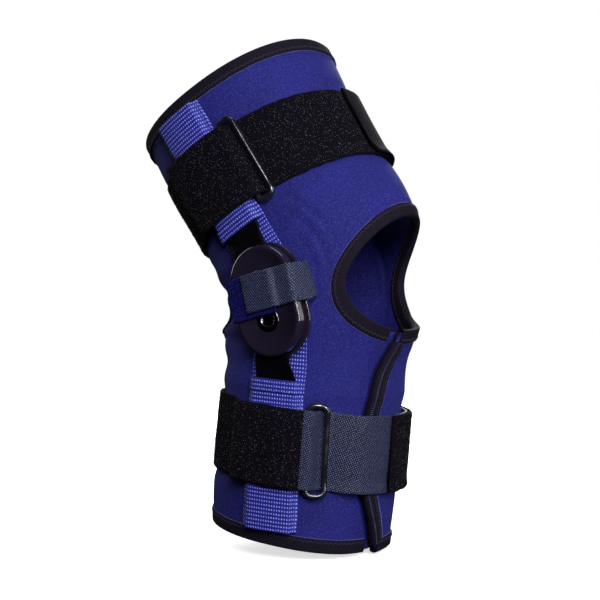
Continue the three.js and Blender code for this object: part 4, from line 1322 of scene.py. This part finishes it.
@dataclass
class SideTapes(Dresser):
    """The ribbed tape up each side, and the pockets on it that hold the bars."""

    form: LimbForm
    side: Side
    threads: Stitching
    width: float = 35.0
    pocket_mouth: float = 50.0
    stay_width: float = 25.0
    stay_thickness: float = 2.2
    end_margin: float = 8.4

    @property
    def pocket_low(self) -> float:
        """Height of a pocket's underside where it bridges the bar."""
        return self.form.tape_high + 2 * self.form.layer + self.stay_thickness

    def tape(self, name: str, low_s: float, high_s: float, height: Callable[[Array, Array], Array],
             thickness: float, row: float = 0.42) -> Piece:
        """One strip of ribbed tape up the side.

        Args:
            name: Name of the piece.
            low_s: Its lower end.
            high_s: Its upper end.
            height: Height of its underside for places across and along.
            thickness: Its thickness.
            row: Distance of the mesh's rows, fine enough to carry the ribs.

        Returns:
            The strip.
        """
        profile = band_profile(self.width, thickness, 26)
        s = np.linspace(low_s, high_s, int((high_s - low_s) / row))[:, None]
        wander = 0.18 * np.sin(s / 3.7) * np.sign(profile[None, :, 0]) * (
            np.abs(profile[None, :, 0]) > self.width / 2 - 0.7
        )
        across = profile[None, :, 0] + wander
        angle = self.form.side_angle(across, s, self.side)
        rings = self.form.place(angle, s + np.zeros_like(across), height(across, s) + profile[None, :, 1])
        return Ribbing().raise_on(loft(name, rings), WEBBING)

    def build(self) -> None:
        """Builds the tape, the two pockets and their seams."""
        form, label = self.form, self.side.label
        bottom = float(form.rim_drop(math.pi / 2)) + self.end_margin
        top = form.thigh_reach - self.end_margin
        flat = lambda x, s: form.tape_low + 0 * x * s
        base = self.tape(f"side_webbing_{label}", bottom, top, flat, form.tape)
        lay(self.put(base, WEBBING, "webbing", [f"side_tape_{label}"]))
        shoulder = self.stay_width / 2 + 0.8

        def bridged(x: Array, s: Array) -> Array:
            """Underside of a pocket: down at its selvedges, up over the bar."""
            return form.tape_high + 0.35 + (self.pocket_low - form.tape_high - 0.35) * (
                1 - smooth(np.abs(x), shoulder - 0.5, shoulder + 2.4)
            )

        for half, low_s, high_s in (
            (Half.THIGH, self.pocket_mouth, top), (Half.CALF, bottom, -self.pocket_mouth)
        ):
            pocket = self.tape(f"pocket_webbing_{half.label}_{label}", low_s, high_s, bridged, form.tape)
            self.put(pocket, WEBBING, "webbing", [f"pocket_{half.label}_{label}"])
            mouth = half.value * self.pocket_mouth
            hem_s = sorted((mouth - half.value * 0.5, mouth + half.value * 7.5))
            hem = self.tape(f"pocket_hem_{half.label}_{label}", hem_s[0], hem_s[1],
                            lambda x, s: bridged(x, s) + form.tape + 0.15, 0.7)
            self.put(hem, WEBBING, "webbing")
            lay(pocket, hems=[hem])
            for x in (-self.width / 2 + 1.6, self.width / 2 - 1.6):
                run = np.linspace(low_s + 1, high_s - 1, 60)
                line = form.place(form.side_angle(x, run, self.side), run, bridged(x, run) + form.tape + 0.45)
                self.threads.line(line)
            for at in (hem_s[0] + 1.6, hem_s[1] - 1.2):
                x = np.linspace(-self.width / 2 + 2, self.width / 2 - 2, 30)
                line = form.place(form.side_angle(x, at, self.side), at, bridged(x, at) + form.tape + 1.1)
                self.threads.line(line)


@dataclass(frozen=True)
class HingeFrame:
    """Axes of a hinge: p to the front, q up along the brace and w out from it."""

    form: LimbForm
    side: Side
    toe: float = 9.0
    stand: float = 1.83

    def at(self, p: Array | float, q: Array | float, w: Array | float) -> Array:
        """Points of the hinge, in millimetres."""
        p, q, w = np.broadcast_arrays(np.asarray(p, float), np.asarray(q, float), np.asarray(w, float))
        mid, toe = self.form.mid_lean, math.radians(self.toe)
        forward = np.array([math.cos(mid), 0.0, math.sin(mid)])
        along = np.array([-math.sin(mid), 0.0, math.cos(mid)])
        out = np.array([0.0, -float(self.side.value), 0.0])
        ahead = forward * math.cos(toe) + out * math.sin(toe)
        normal = out * math.cos(toe) - forward * math.sin(toe)
        centre = self.form.place(
            self.form.side_angle(0.0, 0.0, self.side), 0.0, self.form.tape_high + self.stand
        )
        return centre + p[..., None] * ahead + q[..., None] * along + w[..., None] * normal


@dataclass
class Hinge(Dresser):
    """Two-pivot hinge of one side: plate, bevelled cover, tubular rivets and the two flat bars."""

    form: LimbForm
    side: Side
    cover_width: float = 47.0
    cover_height: float = 6.0
    bevel: float = 2.0
    plate: float = 2.0
    plate_margin: float = 1.5
    spacing: float = 23.0
    bar_width: float = 25.0
    bar: float = 2.2
    tuck: float = 8.0
    rim_clear: float = 8.4  # the binding's width and the gap beside it
    bore: float = 4.4
    shank: float = 5.4
    head: float = 8.0
    head_rim: float = 1.4

    @property
    def axes(self) -> HingeFrame:
        """The hinge's axes."""
        return HingeFrame(self.form, self.side)

    @property
    def bar_low(self) -> float:
        """Height of the bars' underside over the plate's back."""
        return self.plate + self.form.gap

    @property
    def cover_low(self) -> float:
        """Height of the cover's underside."""
        return self.bar_low + self.bar + self.form.gap

    @property
    def cover_top(self) -> float:
        """Height of the cover's face."""
        return self.cover_low + self.cover_height

    def stadium(self, radius: float, steps: int = 48) -> Array:
        """Outline round both pivots."""
        arc = np.linspace(0, math.pi, steps)
        ends = [
            np.stack([up * radius * np.cos(arc), up * (radius * np.sin(arc) + self.spacing / 2)], axis=-1)
            for up in (1, -1)
        ]
        return np.vstack(ends)

    def slab(self, name: str, levels: Sequence[tuple[float, float]]) -> Piece:
        """A slab with the stadium's outline.

        Args:
            name: Name of the piece.
            levels: Height and radius of each level.

        Returns:
            The slab.
        """
        outlines = [(self.stadium(radius), w) for w, radius in levels]
        rings = np.array([self.axes.at(outline[:, 0], outline[:, 1], w) for outline, w in outlines])
        return loft(name, rings, crisp=50)

    def lathe(self, name: str, pivot: float, profile: Sequence[tuple[float, float]], solid: bool) -> Piece:
        """A round piece on a pivot.

        Args:
            name: Name of the piece.
            pivot: q of the pivot.
            profile: Radius and height of each corner.
            solid: Whether it is a plug with ends, not a tube.

        Returns:
            The piece.
        """
        turns = np.linspace(0, TURN, 65)[:-1]
        shape = np.array(profile)
        rings = [self.axes.at(r * np.cos(turns), pivot + r * np.sin(turns), w) for r, w in shape]
        return loft(name, np.array(rings), run_closed=not solid, crisp=50)

    def bored(self, obj: Piece, radius: float, low: float, pivots: Sequence[float]) -> Piece:
        """Cuts round holes on the pivots, from low outwards."""
        for pivot in pivots:
            cutter = self.lathe("cutter", pivot, [(radius, low), (radius, self.cover_top + 6)], True)
            modifier = obj.modifiers.new("bore", "BOOLEAN")
            modifier.operation, modifier.solver, modifier.object = "DIFFERENCE", "EXACT", cutter
            graph = bpy.context.evaluated_depsgraph_get()
            plain = bpy.data.meshes.new_from_object(obj.evaluated_get(graph))
            obj.modifiers.clear()
            old, obj.data = obj.data, plain
            bpy.data.meshes.remove(old)
            used = cutter.data
            bpy.data.objects.remove(cutter)
            bpy.data.meshes.remove(used)
        obj.data.set_sharp_from_angle(angle=math.radians(35))
        return obj

    def rounded(self, radius: float, low: float, high: float, bevel: float) -> list[tuple[float, float]]:
        """Levels of a slab with a small lower edge and a rounded upper bevel."""
        turns = np.linspace(0, math.pi / 2, 8)
        top = [(high - bevel + bevel * math.sin(t), radius - bevel + bevel * math.cos(t)) for t in turns]
        return [(low, radius - 0.4), (low + 0.4, radius), *top]

    def build(self) -> None:
        """Builds and dresses the hinge and its bars."""
        label, pivots, radius = self.side.label, (self.spacing / 2, -self.spacing / 2), self.cover_width / 2
        clear = self.shank + self.form.gap
        plate = self.slab(
            f"back_plate_{label}", self.rounded(radius + self.plate_margin, 0.0, self.plate, 0.6)
        )
        self.put(self.bored(plate, clear, -5, pivots), PLASTIC, "hinge_plastic", [f"hinge_plate_{label}"])
        levels = self.rounded(radius, self.cover_low, self.cover_top, self.bevel)
        # A shallow step inside the bevel, as moulded covers have
        levels += [
            (self.cover_top, radius - self.bevel - 0.9), (self.cover_top - 0.25, radius - self.bevel - 1.3)
        ]
        cover = self.slab(f"cover_{label}", levels)
        cover = self.bored(cover, clear, self.cover_low - 2, pivots)
        cover = self.bored(
            cover, self.head + self.form.gap, self.cover_top - self.head_rim - self.form.gap, pivots
        )
        self.put(cover, PLASTIC, "hinge_plastic", [f"hinge_cover_{label}"])
        for pivot, half in zip(pivots, Half):
            top, floor = self.cover_top, self.cover_top - self.head_rim
            profile = [
                (self.bore, -0.95),
                (self.shank + 1.2, -0.95),
                (self.shank + 1.2, -0.35),
                (self.shank, -0.35),
                (self.shank, floor),
                (self.head, floor),
                (self.head, top - 0.5),
                (self.head - 0.15, top - 0.15),
                (self.head - 0.5, top),
                (self.bore + 1.5, top),
                (self.bore + 0.9, top - 0.15),
                (self.bore + 0.35, top - 0.55),
                (self.bore, top - 1.2),
            ]
            rivet = self.lathe(f"tube_rivet_{half.label}_{label}", pivot, profile, False)
            self.put(rivet, RIVET, "rivet_steel", [f"rivet_{half.label}_{label}"])
            bar = self.bored(self.flat_bar(half, pivot), clear, -5, [pivot])
            self.put(bar, BAR_COAT, "stay_metal", [f"stay_{half.label}_{label}"])

    def flat_bar(self, half: Half, pivot: float) -> Piece:
        """A bar from its pivot: flat in the hinge and then shaped to the limb.

        Args:
            half: The half that it holds.
            pivot: q of its pivot.

        Returns:
            The bar.
        """
        form, up = self.form, half.value
        stay_low = form.tape_high + form.layer
        end = form.thigh_reach if up > 0 else -float(form.rim_drop(math.pi / 2))
        reach = end - self.rim_clear - self.tuck - self.spacing / 2
        turn, eye = math.radians(form.thigh_lean - form.calf_lean) / 2, self.spacing / 2 - form.gap
        eye_runs = -eye * np.cos(np.linspace(0.12, math.pi / 2, 14))
        runs = np.concatenate(
            [
                eye_runs,
                np.linspace(0.8, reach - 3, 90),
                reach - 3 + 3 * np.sin(np.linspace(0.1, math.pi / 2 - 0.1, 6)),
            ]
        )
        rings = []
        for t in runs:
            wide = math.sqrt(max(eye**2 - t**2, 1.0)) if t < 0 else eye + (
                self.bar_width / 2 - eye
            ) * float(smooth(t, 0, 9))
            wide -= 3 - math.sqrt(max(9 - max(t - reach + 3, 0.0) ** 2, 0.0))
            section = band_profile(2 * wide, self.bar, 6, 0.25)
            x, h = section[:, 0], section[:, 1]
            s = up * (self.spacing / 2 + t)
            flat = self.axes.at(
                x * math.cos(turn) - t * math.sin(turn),
                pivot + up * (t * math.cos(turn) + x * math.sin(turn)),
                self.bar_low + h,
            )
            bent = form.place(form.side_angle(x, s, self.side), s, stay_low + h)
            share = float(smooth(t, 25, 40))
            rings.append(flat * (1 - share) + bent * share)
        return loft(f"flat_bar_{half.label}_{self.side.label}", np.array(rings), crisp=40)


@dataclass
class HingeTabs(Dresser):
    """The pile tab and the hook tab that hold a hinge down."""

    form: LimbForm
    hinge: Hinge
    threads: Stitching
    hook_width: float = 24.0
    hook_at: float = 6.2
    loop_width: float = 27.0
    loop_at: float = 4.6
    hook_end: float = -10.5
    loop_end: float = 9.0
    foot: float = 5.2
    thickness: float = 1.6

    def tab(
        self, name: str, way: int, middle: float, width: float, cover: Sequence[tuple[float, float]]
    ) -> tuple[Piece, Array]:
        """A tab that lies on the wrap, climbs the hinge's edge and lies on its cover.

        Args:
            name: Name of the tab.
            way: 1 for a tab from the front, -1 from behind.
            middle: q of its centre line.
            width: Its width.
            cover: Places on the cover, as distance and rise.

        Returns:
            The tab, and its rings of points.
        """
        form, hinge = self.form, self.hinge
        section = band_profile(width, self.thickness, 24)
        q, up = section[:, 0], section[:, 1]
        radius, layer = hinge.cover_width / 2, form.layer
        edge, bevel = radius + hinge.plate_margin + layer, hinge.bevel + layer

        def on_hinge(p: float, w: float, tilt: float) -> Array:
            """Ring of points where the tab stands on the hinge."""
            return hinge.axes.at(way * (p + up * math.sin(tilt)), middle + q, w + up * math.cos(tilt))

        def on_limb(x: Array, h: Array) -> Array:
            """Ring of points on the wrap, as wide as elsewhere though the bend stretches s."""
            _, rise = form.spread(form.side_angle(way * edge, middle, hinge.side), np.float64(middle))
            s = middle + q / rise
            return form.place(form.side_angle(way * x, s, hinge.side), s, h)

        root, high = edge - self.thickness, form.tape_low + self.thickness
        rings = [on_limb(x + 0 * q, high - up) for x in (root - self.foot, root)]
        rings += [on_limb(edge + up, high + layer + 0 * q)]
        rings += [on_hinge(edge, 0, math.radians(88)), on_hinge(edge, hinge.bar_low, math.radians(86))]
        for degrees in (80, 55, 30, 5):
            tilt = math.radians(degrees)
            rings.append(
                on_hinge(
                    radius - hinge.bevel + bevel * math.sin(tilt),
                    hinge.cover_top - hinge.bevel + bevel * math.cos(tilt),
                    tilt,
                )
            )
        rings += [on_hinge(p, hinge.cover_top + layer + rise, 0) for p, rise in cover]
        fine = refine(np.array(rings), 10)
        return loft(name, fine), fine

    def build(self) -> None:
        """Builds both tabs, the loops of the pile and the seams at their feet."""
        label = self.hinge.side.label
        lapped = self.thickness + self.form.layer
        pile, _ = self.tab(
            f"pile_tab_{label}", -1, self.loop_at, self.loop_width, [(14, 0), (0, 0), (-self.loop_end, 0)]
        )
        mark_top(pile, 24)
        self.put(
            LoopMat(per_mm2=0.8, height=0.7).grow(pile, f"pile_tab_loops_{label}", BLUE_LOOPS),
            BLUE_LOOPS,
            "blue_pile",
        )
        lay(
            self.put(pile, BLUE_PILE, "blue_pile", [f"hinge_loop_{label}"]),
        )
        crest = self.loop_end + 1
        hook_places = [
            (crest + 4, 0), (crest, lapped), (0.3 * crest, lapped), (-5, lapped), (self.hook_end, lapped)
        ]
        hook, rings = self.tab(f"hook_tab_{label}", 1, self.hook_at, self.hook_width, hook_places)
        lay(self.put(hook, HOOK_TAPE, "hook", [f"hinge_hook_{label}"]))
        top = rings[:, len(rings[0]) // 2 + 2 :, :]
        seam = top[2, 3:-6]
        under = rings[2, 4 : 4 + len(seam)]
        self.threads.line(seam + 0.25 * (seam - under))


def mark_top(obj: Piece, columns: int) -> None:
    """Marks the outer faces of a lofted band, where its loops stand."""
    count = 2 * (columns + 1) + 10
    index = np.arange(len(obj.data.polygons))
    place = index % count
    top = (place >= columns + 6) & (place < 2 * columns + 6) & (index < len(index) - 2)
    layer = obj.data.attributes.new("pile", "BOOLEAN", "FACE")
    layer.data.foreach_set("value", top.tolist())


@dataclass
class Straps(Dresser):
    """The thigh strap and the calf strap with their lapped ends."""

    form: LimbForm
    threads: Stitching
    pile: float = 2.2
    hook: float = 1.6
    columns: int = 26
    ring_ahead: float = 30.5
    ring_width: float = 13.0
    wire: float = 3.2
    tape_width: float = 35.0
    ease: float = 14.0
    thigh_turns: tuple[float, float] = (-48.0, 302.0)
    lap_turns: tuple[float, float] = (297.0, 366.5)
    calf_end: float = 369.4

    @property
    def low(self) -> float:
        """Height of a strap's underside where it lies on the wrap."""
        return self.form.tape_low

    @property
    def rear_bar_x(self) -> float:
        """Place of a ring's rear bar, ahead of the side line."""
        return self.ring_ahead - self.ring_width + self.wire

    @property
    def over(self) -> float:
        """Height of a strap's underside over a pocket, a ring tab or the flap's edge."""
        form = self.form
        pocket_high = form.tape_high + 2 * form.layer + 2.2 + form.tape
        tab = self.wire / 2 + form.gap + form.layer
        return max(
            pocket_high, form.tape_low + 2 * tab, form.lap + form.wall + form.layer + form.binding_tape
        ) + form.layer

    def over_pocket(self, angle: Array, s: float) -> Array:
        """Share of the climb over the pockets, and on the near side over a ring's rear bar."""
        x, half = self.form.side_x(angle, s), self.tape_width / 2
        near = np.sin(angle) > 0
        foot = np.where(near, self.ring_ahead - self.wire / 2 - 0.7, half + self.ease)
        top = np.where(near, self.rear_bar_x + 0.8, half + 1)
        t = np.clip((x - top) / (foot - top), 0, 1)
        return smooth(x, -half - self.ease, -half - 1) * (1 - t * t * (3 - 2 * t))

    def strap(self, name: str, s: float, start: float, end: float, thickness: float,
              low: Callable[[Array], Array], uneven: float) -> Piece:
        """A strap round the limb.

        Args:
            name: Name of the piece.
            s: Where it lies along the limb.
            start: Turn of its first end.
            end: Turn of its last end.
            thickness: Its thickness.
            low: Height of its underside at turns.
            uneven: How unevenly its edges run, in millimetres.

        Returns:
            The strap.
        """
        form = self.form
        section = band_profile(form.strap_width, thickness, self.columns)
        turns = np.linspace(start, end, int((end - start) * 62 / 1.4))[:, None]
        across = section[None, :, 0]
        border = np.abs(across) / (form.strap_width / 2)
        wander = uneven * np.sin(turns * 23 + 3 * np.sin(turns * 7)) * np.sign(across) * border**6
        crown = 0.35 * (1 - border**2) + 0.18 * np.sin(turns * 9 + across / 9) * (1 - border**4)
        h = low(turns) + section[None, :, 1] + np.where(section[None, :, 1] > thickness / 2, crown, 0)
        return loft(name, form.place(turns, s - form.strap_lowering(turns) + across + wander, h))

    def cut_end(self, s: float, turn: float, h: float) -> None:
        """Adds a row of close stitches along a strap's cut end."""
        across = np.linspace(-self.form.strap_width / 2 + 0.6, self.form.strap_width / 2 - 0.6, 60)
        line = self.form.place(turn - 0.012, s - float(self.form.strap_lowering(turn)) + across, h)
        self.threads.line(line, pitch=1.5, gap=0.04)

    def dress(self, strap: Piece, half: Half, seed: int) -> None:
        """Args:
            strap: The strap.
            half: The half that it holds.
            seed: Seed of its lit loops.
        """
        mark_top(strap, self.columns)
        name = f"{half.label}_strap"
        # The second set of loops is painted light: pale, lit copies of the black loops.
        lit = LoopMat(per_mm2=0.22, height=0.34, seed=seed)
        self.put(LoopMat().grow(strap, f"{name}_loops", LOOPS), LOOPS, "pile")
        self.put(lit.grow(strap, f"{name}_lit_loops", LIT_LOOPS), LIT_LOOPS, "pile")
        self.put(strap, PILE, "pile", [name])
        lay(strap)

    def build(self) -> None:
        """Builds both straps, their laps and their loops."""
        form = self.form
        thigh, calf = form.thigh_strap_at, -form.calf_strap_at
        gain = self.over - self.low

        def main(turn: Array) -> Array:
            """Underside of the thigh strap."""
            return self.low + gain * self.over_pocket(turn, thigh)

        strap = self.strap("thigh_loop_strap", thigh, *np.radians(self.thigh_turns), self.pile, main, 0.25)
        self.dress(strap, Half.THIGH, 3)
        lapped = self.low + self.pile + form.layer
        start, end = np.radians(self.lap_turns)
        lap = self.strap("thigh_strap_lap", thigh, start, end, self.pile, lambda turn: lapped + 0 * turn, 0.1)
        lay(self.put(lap, LAP_TAPE, "pile", ["thigh_strap_end"]))
        self.cut_end(thigh, end, lapped + self.pile + 0.3)

        edge, root = math.radians(28.5), math.radians(form.flap_root - 10)

        def over_flap(a: Array) -> Array:
            """Share of the climb over the flap, and down from its edge."""
            return form.lap_share(a + TURN) * (1 - np.clip((a - edge - 0.03) / 0.36, 0, 1))

        def grey(a: Array) -> Array:
            """Underside of the hook tape."""
            return self.low + gain * np.maximum(over_flap(a), self.over_pocket(a, calf))

        hook_end = float(form.side_angle(4.0, calf, Side.NEAR))
        hook = self.strap("calf_hook_tape", calf, root, hook_end, self.hook, grey, 0.1)
        lay(
            self.put(hook, HOOK_TAPE, "hook", ["calf_strap_hook"]),
        )
        step = self.hook + form.layer

        def black(turn: Array) -> Array:
            """Underside of the pile strap: over the hook tape at both of its ends."""
            on_hook = 1 - smooth(turn, hook_end + math.radians(1), hook_end + math.radians(8))
            lap_share = smooth(turn - TURN, root - math.radians(9), root - math.radians(2))
            flap_share = np.where(turn > math.pi, over_flap(turn - TURN), 0)
            return self.low + gain * np.maximum(
                flap_share, self.over_pocket(turn, calf)
            ) + step * (on_hook + lap_share)

        start = float(form.side_angle(self.rear_bar_x - 3, calf, Side.NEAR))
        end = math.radians(self.calf_end)
        strap = self.strap("calf_loop_strap", calf, start, end, self.pile, black, 0.25)
        self.dress(strap, Half.CALF, 5)
        for line in (-form.strap_width / 2 + 1.8, form.strap_width / 2 - 1.8):
            turns = np.linspace(root + 0.1, hook_end - 0.05, 90)
            self.threads.line(
                form.place(turns, calf - form.strap_lowering(turns) + line, grey(turns) + self.hook + 0.3),
                pitch=3.2,
            )
        self.put(self.threads.sew("strap_seams", BLACK_THREAD), BLACK_THREAD, "hook")


@dataclass
class Rings(Dresser):
    """The wire loops that the straps thread through, and the tapes that hold them."""

    form: LimbForm
    straps: Straps
    length: float = 60.0
    corner: float = 4.0
    tab_width: float = 42.0
    tab_tape: float = 0.9
    tab_flat: float = 0.022  # metres of tape folded round the rear bar
    coat: float = 0.3

    def build(self) -> None:
        """Builds both rings and their tabs."""
        straps = self.straps
        for half, s, high in (
            (Half.THIGH, self.form.thigh_strap_at, straps.pile),
            (Half.CALF, -self.form.calf_strap_at, straps.hook),
        ):
            self.ring(half, s, straps.low + high)

    def ring(self, half: Half, s: float, strap_high: float) -> None:
        """Builds the ring of one strap.

        Args:
            half: The half that it belongs to.
            s: Where the strap lies.
            strap_high: Height of the strap's outer face.
        """
        form, straps = self.form, self.straps
        radius = straps.wire / 2
        coated = radius + self.coat
        front, rear, long = straps.ring_ahead, straps.rear_bar_x, (self.length - straps.wire) / 2
        rear_h = form.tape_low + radius + form.gap + form.layer
        front_h = strap_high + form.gap + radius
        s = s - float(form.strap_lowering(form.side_angle(front, s, Side.NEAR)))
        corner = self.corner
        centres = [
            (front - corner, long - corner),
            (rear + corner, long - corner),
            (rear + corner, corner - long),
            (front - corner, corner - long),
        ]
        outline = []
        for k, (x, up) in enumerate(centres):
            arc = np.linspace(k * math.pi / 2, (k + 1) * math.pi / 2, 12)
            outline += list(zip(x + corner * np.cos(arc), up + corner * np.sin(arc)))
        outline = np.array(outline + outline[:1])
        run = lengths(outline)
        even = np.linspace(0, run[-1], 161)[:-1]
        x, up = (np.interp(even, run, outline[:, k]) for k in (0, 1))
        h = rear_h + (front_h - rear_h) * (x - rear) / (front - rear)
        spine = form.place(form.side_angle(x, s + up, Side.NEAR), s + up, h)
        tangent = np.roll(spine, -1, axis=0) - np.roll(spine, 1, axis=0)
        tangent /= np.linalg.norm(tangent, axis=-1, keepdims=True)
        across = np.cross(tangent, np.array([0.0, -1.0, 0.0]))
        across /= np.linalg.norm(across, axis=-1, keepdims=True)
        rise = np.cross(across, tangent)
        turns = np.linspace(0, TURN, 17)[:-1]
        around = np.cos(turns)[
            None, :, None
        ] * rise[:, None, :] + np.sin(turns)[None, :, None] * across[:, None, :]
        ring = loft(f"wire_loop_{half.label}", spine[:, None, :] + coated * around, run_closed=True)
        self.put(ring, WIRE_COAT, "ring_wire", [f"{half.label}_ring"])

        turns = np.linspace(0, TURN, 65)[:-1]
        tail = np.array([rear + 4.6, form.tape_low + 0.5])
        tab = radius + form.gap + self.tab_tape
        circle = np.stack([rear + tab * np.cos(turns), rear_h + tab * np.sin(turns)], axis=-1)
        pull = bump(turns, 1.72 * math.pi, 0.2)[:, None]
        outer = circle * (1 - pull) + tail * pull
        inner = np.stack(
            [rear + (radius + form.gap) * np.cos(turns), rear_h + (radius + form.gap) * np.sin(turns)],
            axis=-1,
        )
        ups = np.linspace(-self.tab_width / 2, self.tab_width / 2, 12)
        section = [*[(inner, v) for v in ups], *[(outer, v) for v in ups[::-1]]]
        rings = np.stack(
            [
                form.place(form.side_angle(line[:, 0], s + v, Side.NEAR), s + v, line[:, 1])
                for line, v in section
            ],
            axis=1,
        )
        tape = loft(f"ring_tape_{half.label}", rings, run_closed=True, crisp=60)
        self.put(tape, LAP_TAPE, "pile", [f"ring_tab_{half.label}"])


@dataclass(frozen=True)
class Studio:
    """Pale floor, soft lights and the camera."""

    camera_at: tuple[float, float, float] = (0.3489, -0.7738, 0.0)
    looks_at: tuple[float, float, float] = (-0.0103, -0.0034, 0.0)
    lens: float = 76.12
    floor: float = -0.1655
    white: str = "#FFFFFF"
    near_glow: float = 0.6

    # Name, place, width and height in metres, and watts
    LAMPS = (
        ("key_light", (0.6, -1.05, 0.5), (0.45, 0.45), 18.0),
        ("strip_light", (0.95, -0.5, 0.2), (0.04, 0.7), 10.0),
        ("left_light", (-1.15, 0.1, 0.5), (0.5, 0.8), 5.0),
        ("top_light", (0.1, 0.0, 1.3), (0.8, 0.8), 5.0),
        ("right_light", (1.1, 0.6, 0.3), (0.8, 0.8), 4.0),
        ("back_light", (-0.4, 1.1, 0.5), (0.7, 0.7), 18.0),
    )

    def build(self) -> None:
        """Sets up the floor, the lights, the world and the camera."""
        self.ground()
        for name, at, size, power in self.LAMPS:
            self.lamp(name, at, size, power)
        world = bpy.data.worlds.new("studio")
        world.use_nodes = True
        world.node_tree.nodes["Background"].inputs["Color"].default_value = linear(self.white)
        world.node_tree.nodes["Background"].inputs["Strength"].default_value = 1.0
        # The white surround is only seen; dark cloth and plastic keep their depth
        world.cycles_visibility.diffuse = False
        world.cycles_visibility.glossy = False
        scene = bpy.context.scene
        scene.world = world
        scene.view_settings.view_transform = "Standard"
        data = bpy.data.cameras.new("photo_camera")
        data.lens, data.sensor_width = self.lens, 36.0
        data.clip_start = 0.05
        camera = bpy.data.objects.new("photo_camera", data)
        camera.location = self.camera_at
        way = Vector(self.looks_at) - Vector(self.camera_at)
        camera.rotation_euler = way.to_track_quat("-Z", "Y").to_euler()
        scene.collection.objects.link(camera)
        scene.camera = camera

    def lamp(
        self, name: str, at: tuple[float, float, float], size: tuple[float, float], power: float
    ) -> None:
        """Adds a soft lamp turned to the brace.

        Args:
            name: Name of the lamp.
            at: Its place.
            size: Its width and height.
            power: Its power in watts.
        """
        data = bpy.data.lights.new(name, "AREA")
        data.shape, data.energy = "RECTANGLE", power
        data.size, data.size_y = size
        lamp = bpy.data.objects.new(name, data)
        lamp.location = at
        lamp.rotation_euler = (-Vector(at)).to_track_quat("-Z", "Y").to_euler()
        bpy.context.scene.collection.objects.link(lamp)

    def ground(self) -> None:
        """Adds the floor, a wide plane that glows white on its own, more weakly near the brace."""
        reach = 6.0
        corners = [
            (-reach, -reach, self.floor),
            (reach, -reach, self.floor),
            (reach, reach, self.floor),
            (-reach, reach, self.floor),
        ]
        floor = mesh_object("studio_floor", np.array(corners) / MM, [[0, 1, 2, 3]])
        pale = Finish("pale_floor", self.white, 0.9).make()
        tree = pale.node_tree
        spot = tree_node(tree, "ShaderNodeTexCoord")
        far = tree_node(tree, "ShaderNodeVectorMath", {"operation": "LENGTH"}, {0: spot.outputs["Object"]})
        # Painted light: the floor glows by emission, at near_glow close to the brace and rising to full glow
        # farther out.
        glow = tree_node(
            tree, "ShaderNodeMapRange", {1: 0.2, 2: 0.9, 3: self.near_glow, 4: 1.0}, {0: far.outputs["Value"]}
        )
        shader = tree.nodes["Principled BSDF"]
        shader.inputs["Emission Color"].default_value = linear(self.white)
        tree.links.new(glow.outputs[0], shader.inputs["Emission Strength"])
        floor.data.materials.append(pale)
        floor.visible_diffuse = floor.visible_glossy = False


def main() -> None:
    """Builds every class in order."""
    Studio().build()
    form = LimbForm()
    Wrap(form).build()
    bindings = Bindings(form)
    bindings.build()
    bindings.put(bindings.threads.sew("edge_tape_stitches", BLACK_THREAD), BLACK_THREAD, "binding")
    seams = Stitching(thread=0.45)
    for side in Side:
        SideTapes(form, side, seams).build()
        hinge = Hinge(form, side)
        hinge.build()
        HingeTabs(form, hinge, seams).build()
    bindings.put(seams.sew("webbing_stitches", BLUE_THREAD), BLUE_THREAD, "webbing")
    straps = Straps(form, Stitching(thread=0.4))
    straps.build()
    Rings(form, straps).build()
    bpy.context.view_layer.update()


def plain(box: Sequence) -> list[list[float]]:
    """A box as plain lists of numbers."""
    return [[float(value) for value in corner] for corner in box]


if __name__ == "__main__":
    main()
